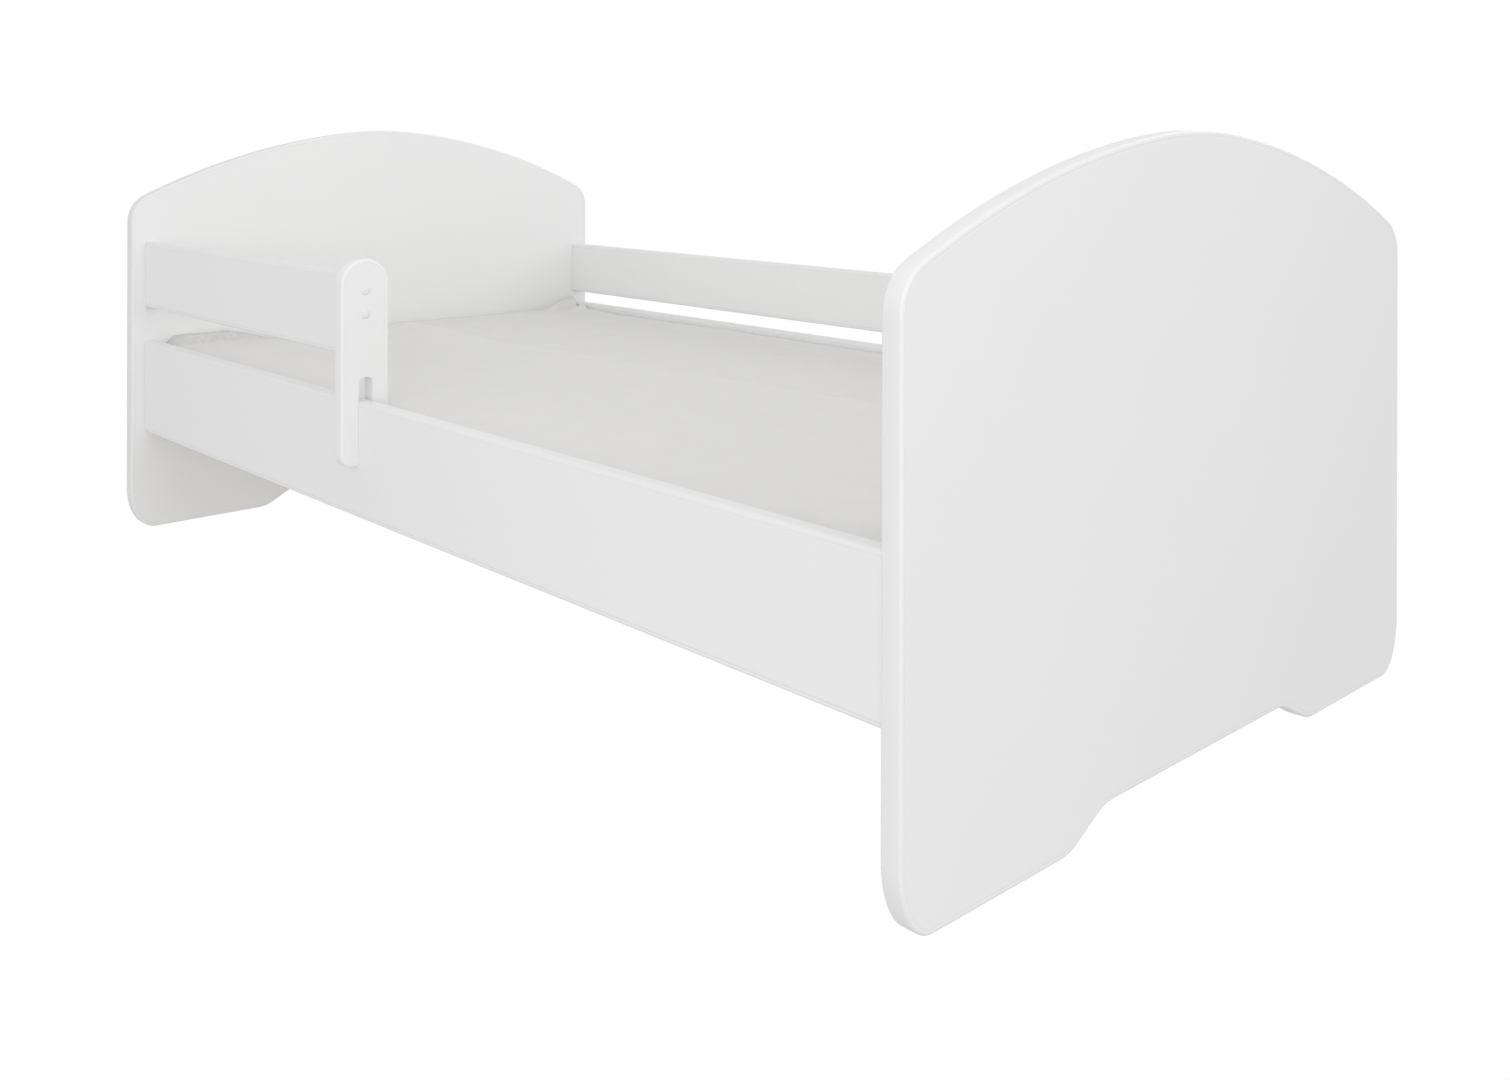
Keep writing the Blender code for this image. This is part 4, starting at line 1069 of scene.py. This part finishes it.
pulled = group_node(tree, unevenness, {"Position": stretched(tree, position, (9.0, 70.0, 20.0))},
                    Cells_per_Metre=1.0, Low=0.0, High=1.0)
cover_height_sum = maths(tree, 'ADD', maths(tree, 'MULTIPLY', knit.outputs["Height"], 0.15),
                         pulled.outputs["Height"])
raise_surface(tree, shader, cover_height_sum, 0.0008, 0.5)
cover.data.materials.append(cover_finish)

# %% [markdown]
# ### Pine, beech, webbing, metal and plastic
#
# Under the mattress lie planed pine slats on pine ledges, spaced by woven tape. Grain runs
# along a plank, so the position is squeezed along its length before the grain group sees it,
# which draws the rings out into long lines. The fittings are zinc castings and plated steel.

# %% Finishes of the hidden pieces
def make_wood(name, along_scale, early, late, rings_per_metre, fleck):
    """Planed wood with its grain drawn out along one axis."""
    finish, tree, shader, position = new_finish(name)
    planks = group_node(tree, grain, {"Position": stretched(tree, position, along_scale)},
                        Rings_per_Metre=rings_per_metre, Fleck=fleck)
    planks.inputs["Early Wood"].default_value = (*early, 1.0)
    planks.inputs["Late Wood"].default_value = (*late, 1.0)
    tree.links.new(planks.outputs["Color"], shader.inputs["Base Color"])
    uneven_gloss(tree, shader, position, 400.0, 0.50, 0.66)
    raise_surface(tree, shader, planks.outputs["Height"], 0.0002, 0.6)
    return finish


def make_metal(name, dark, light, streak_scale, low, high):
    """Dull plated metal with streaks from its making."""
    finish, tree, shader, position = new_finish(name)
    streaks = uneven_gloss(tree, shader, stretched(tree, position, streak_scale), 1.0, low, high)
    colour_between(tree, shader, streaks.outputs["Height"], dark, light)
    shader.inputs["Metallic"].default_value = 1.0
    raise_surface(tree, shader, streaks.outputs["Height"], 0.00005, 0.5)
    return finish


PINE_EARLY, PINE_LATE = (0.86, 0.77, 0.63), (0.74, 0.60, 0.42)
slat_pine = make_wood("pine_slat", (1.0, 0.06, 1.0), PINE_EARLY, PINE_LATE, 30.0, 0.3)
ledge_pine = make_wood("pine_ledge", (0.06, 1.0, 1.0), PINE_EARLY, PINE_LATE, 45.0, 0.3)
beech = make_wood("beech_dowel", (0.10, 1.0, 1.0), (0.74, 0.56, 0.38), (0.60, 0.42, 0.26), 160.0, 0.6)
zinc = make_metal("die_cast_zinc", (0.50, 0.50, 0.51), (0.64, 0.64, 0.65), (420.0, 420.0, 420.0), 0.45, 0.60)
steel = make_metal("plated_steel", (0.55, 0.55, 0.56), (0.68, 0.68, 0.69), (90.0, 900.0, 900.0), 0.28, 0.42)

tape, tree, shader, position = new_finish("spacing_tape")
threads = group_node(tree, weave, {"Position": position}, Threads_per_Metre=160.0)
colour_between(tree, shader, threads.outputs["Mask"], (0.70, 0.69, 0.64), (0.80, 0.79, 0.75))
uneven_gloss(tree, shader, position, 500.0, 0.82, 0.96)
raise_surface(tree, shader, threads.outputs["Height"], 0.0003, 0.8)

cap_plastic, tree, shader, position = new_finish("white_cap_plastic")
moulded = uneven_gloss(tree, shader, position, 900.0, 0.26, 0.36)
swirl = group_node(tree, unevenness, {"Position": position}, Cells_per_Metre=60.0, Low=0.0, High=1.0)
colour_between(tree, shader, swirl.outputs["Spread"], (0.785,) * 3, (0.800,) * 3)
raise_surface(tree, shader, moulded.outputs["Height"], 0.00003, 0.4)
for cap, node in caps:
    cap.data.materials.append(cap_plastic)
print("finishes:", len(bpy.data.materials))

# %% [markdown]
# ## Hand the pieces over
#
# A new piece stands in for its frame node and moves with the same body, so the barrier and
# the mattress still lift out. The frame's own pieces that stay visible get their finishes by
# the kind of material that the record names for them.

# %% Finishes on the frame's own pieces, and bodies for the new ones
SLOT_FINISH = {"white_board": laminate, "mattress_cover": cover_finish, "webbing": tape,
               "zinc_fitting": zinc, "steel_fitting": steel, "beech_dowel": beech, "white_cap": cap_plastic}
node_slot = {part["node"]: part["material_slot"] for part in frame["record"]["subparts"]}
for node, piece in frame["nodes"].items():
    if node_slot[node] == "pine":
        finish = slat_pine if node.startswith("slat_") else ledge_pine
    else:
        finish = SLOT_FINISH[node_slot[node]]
    if not piece.material_slots:
        piece.data.materials.append(finish)
    for material_slot in piece.material_slots:
        material_slot.link = 'OBJECT'
        material_slot.material = finish

body_of_node = {node: body for body, nodes in frame["record"]["behaviour"]["bodies"].items()
                for node in nodes}
for piece, node in white_pieces + caps + [(cover, "mattress")]:
    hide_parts(node)
    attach(piece, body_of_node[node])
print("new pieces:", len(white_pieces) + len(caps) + 1)
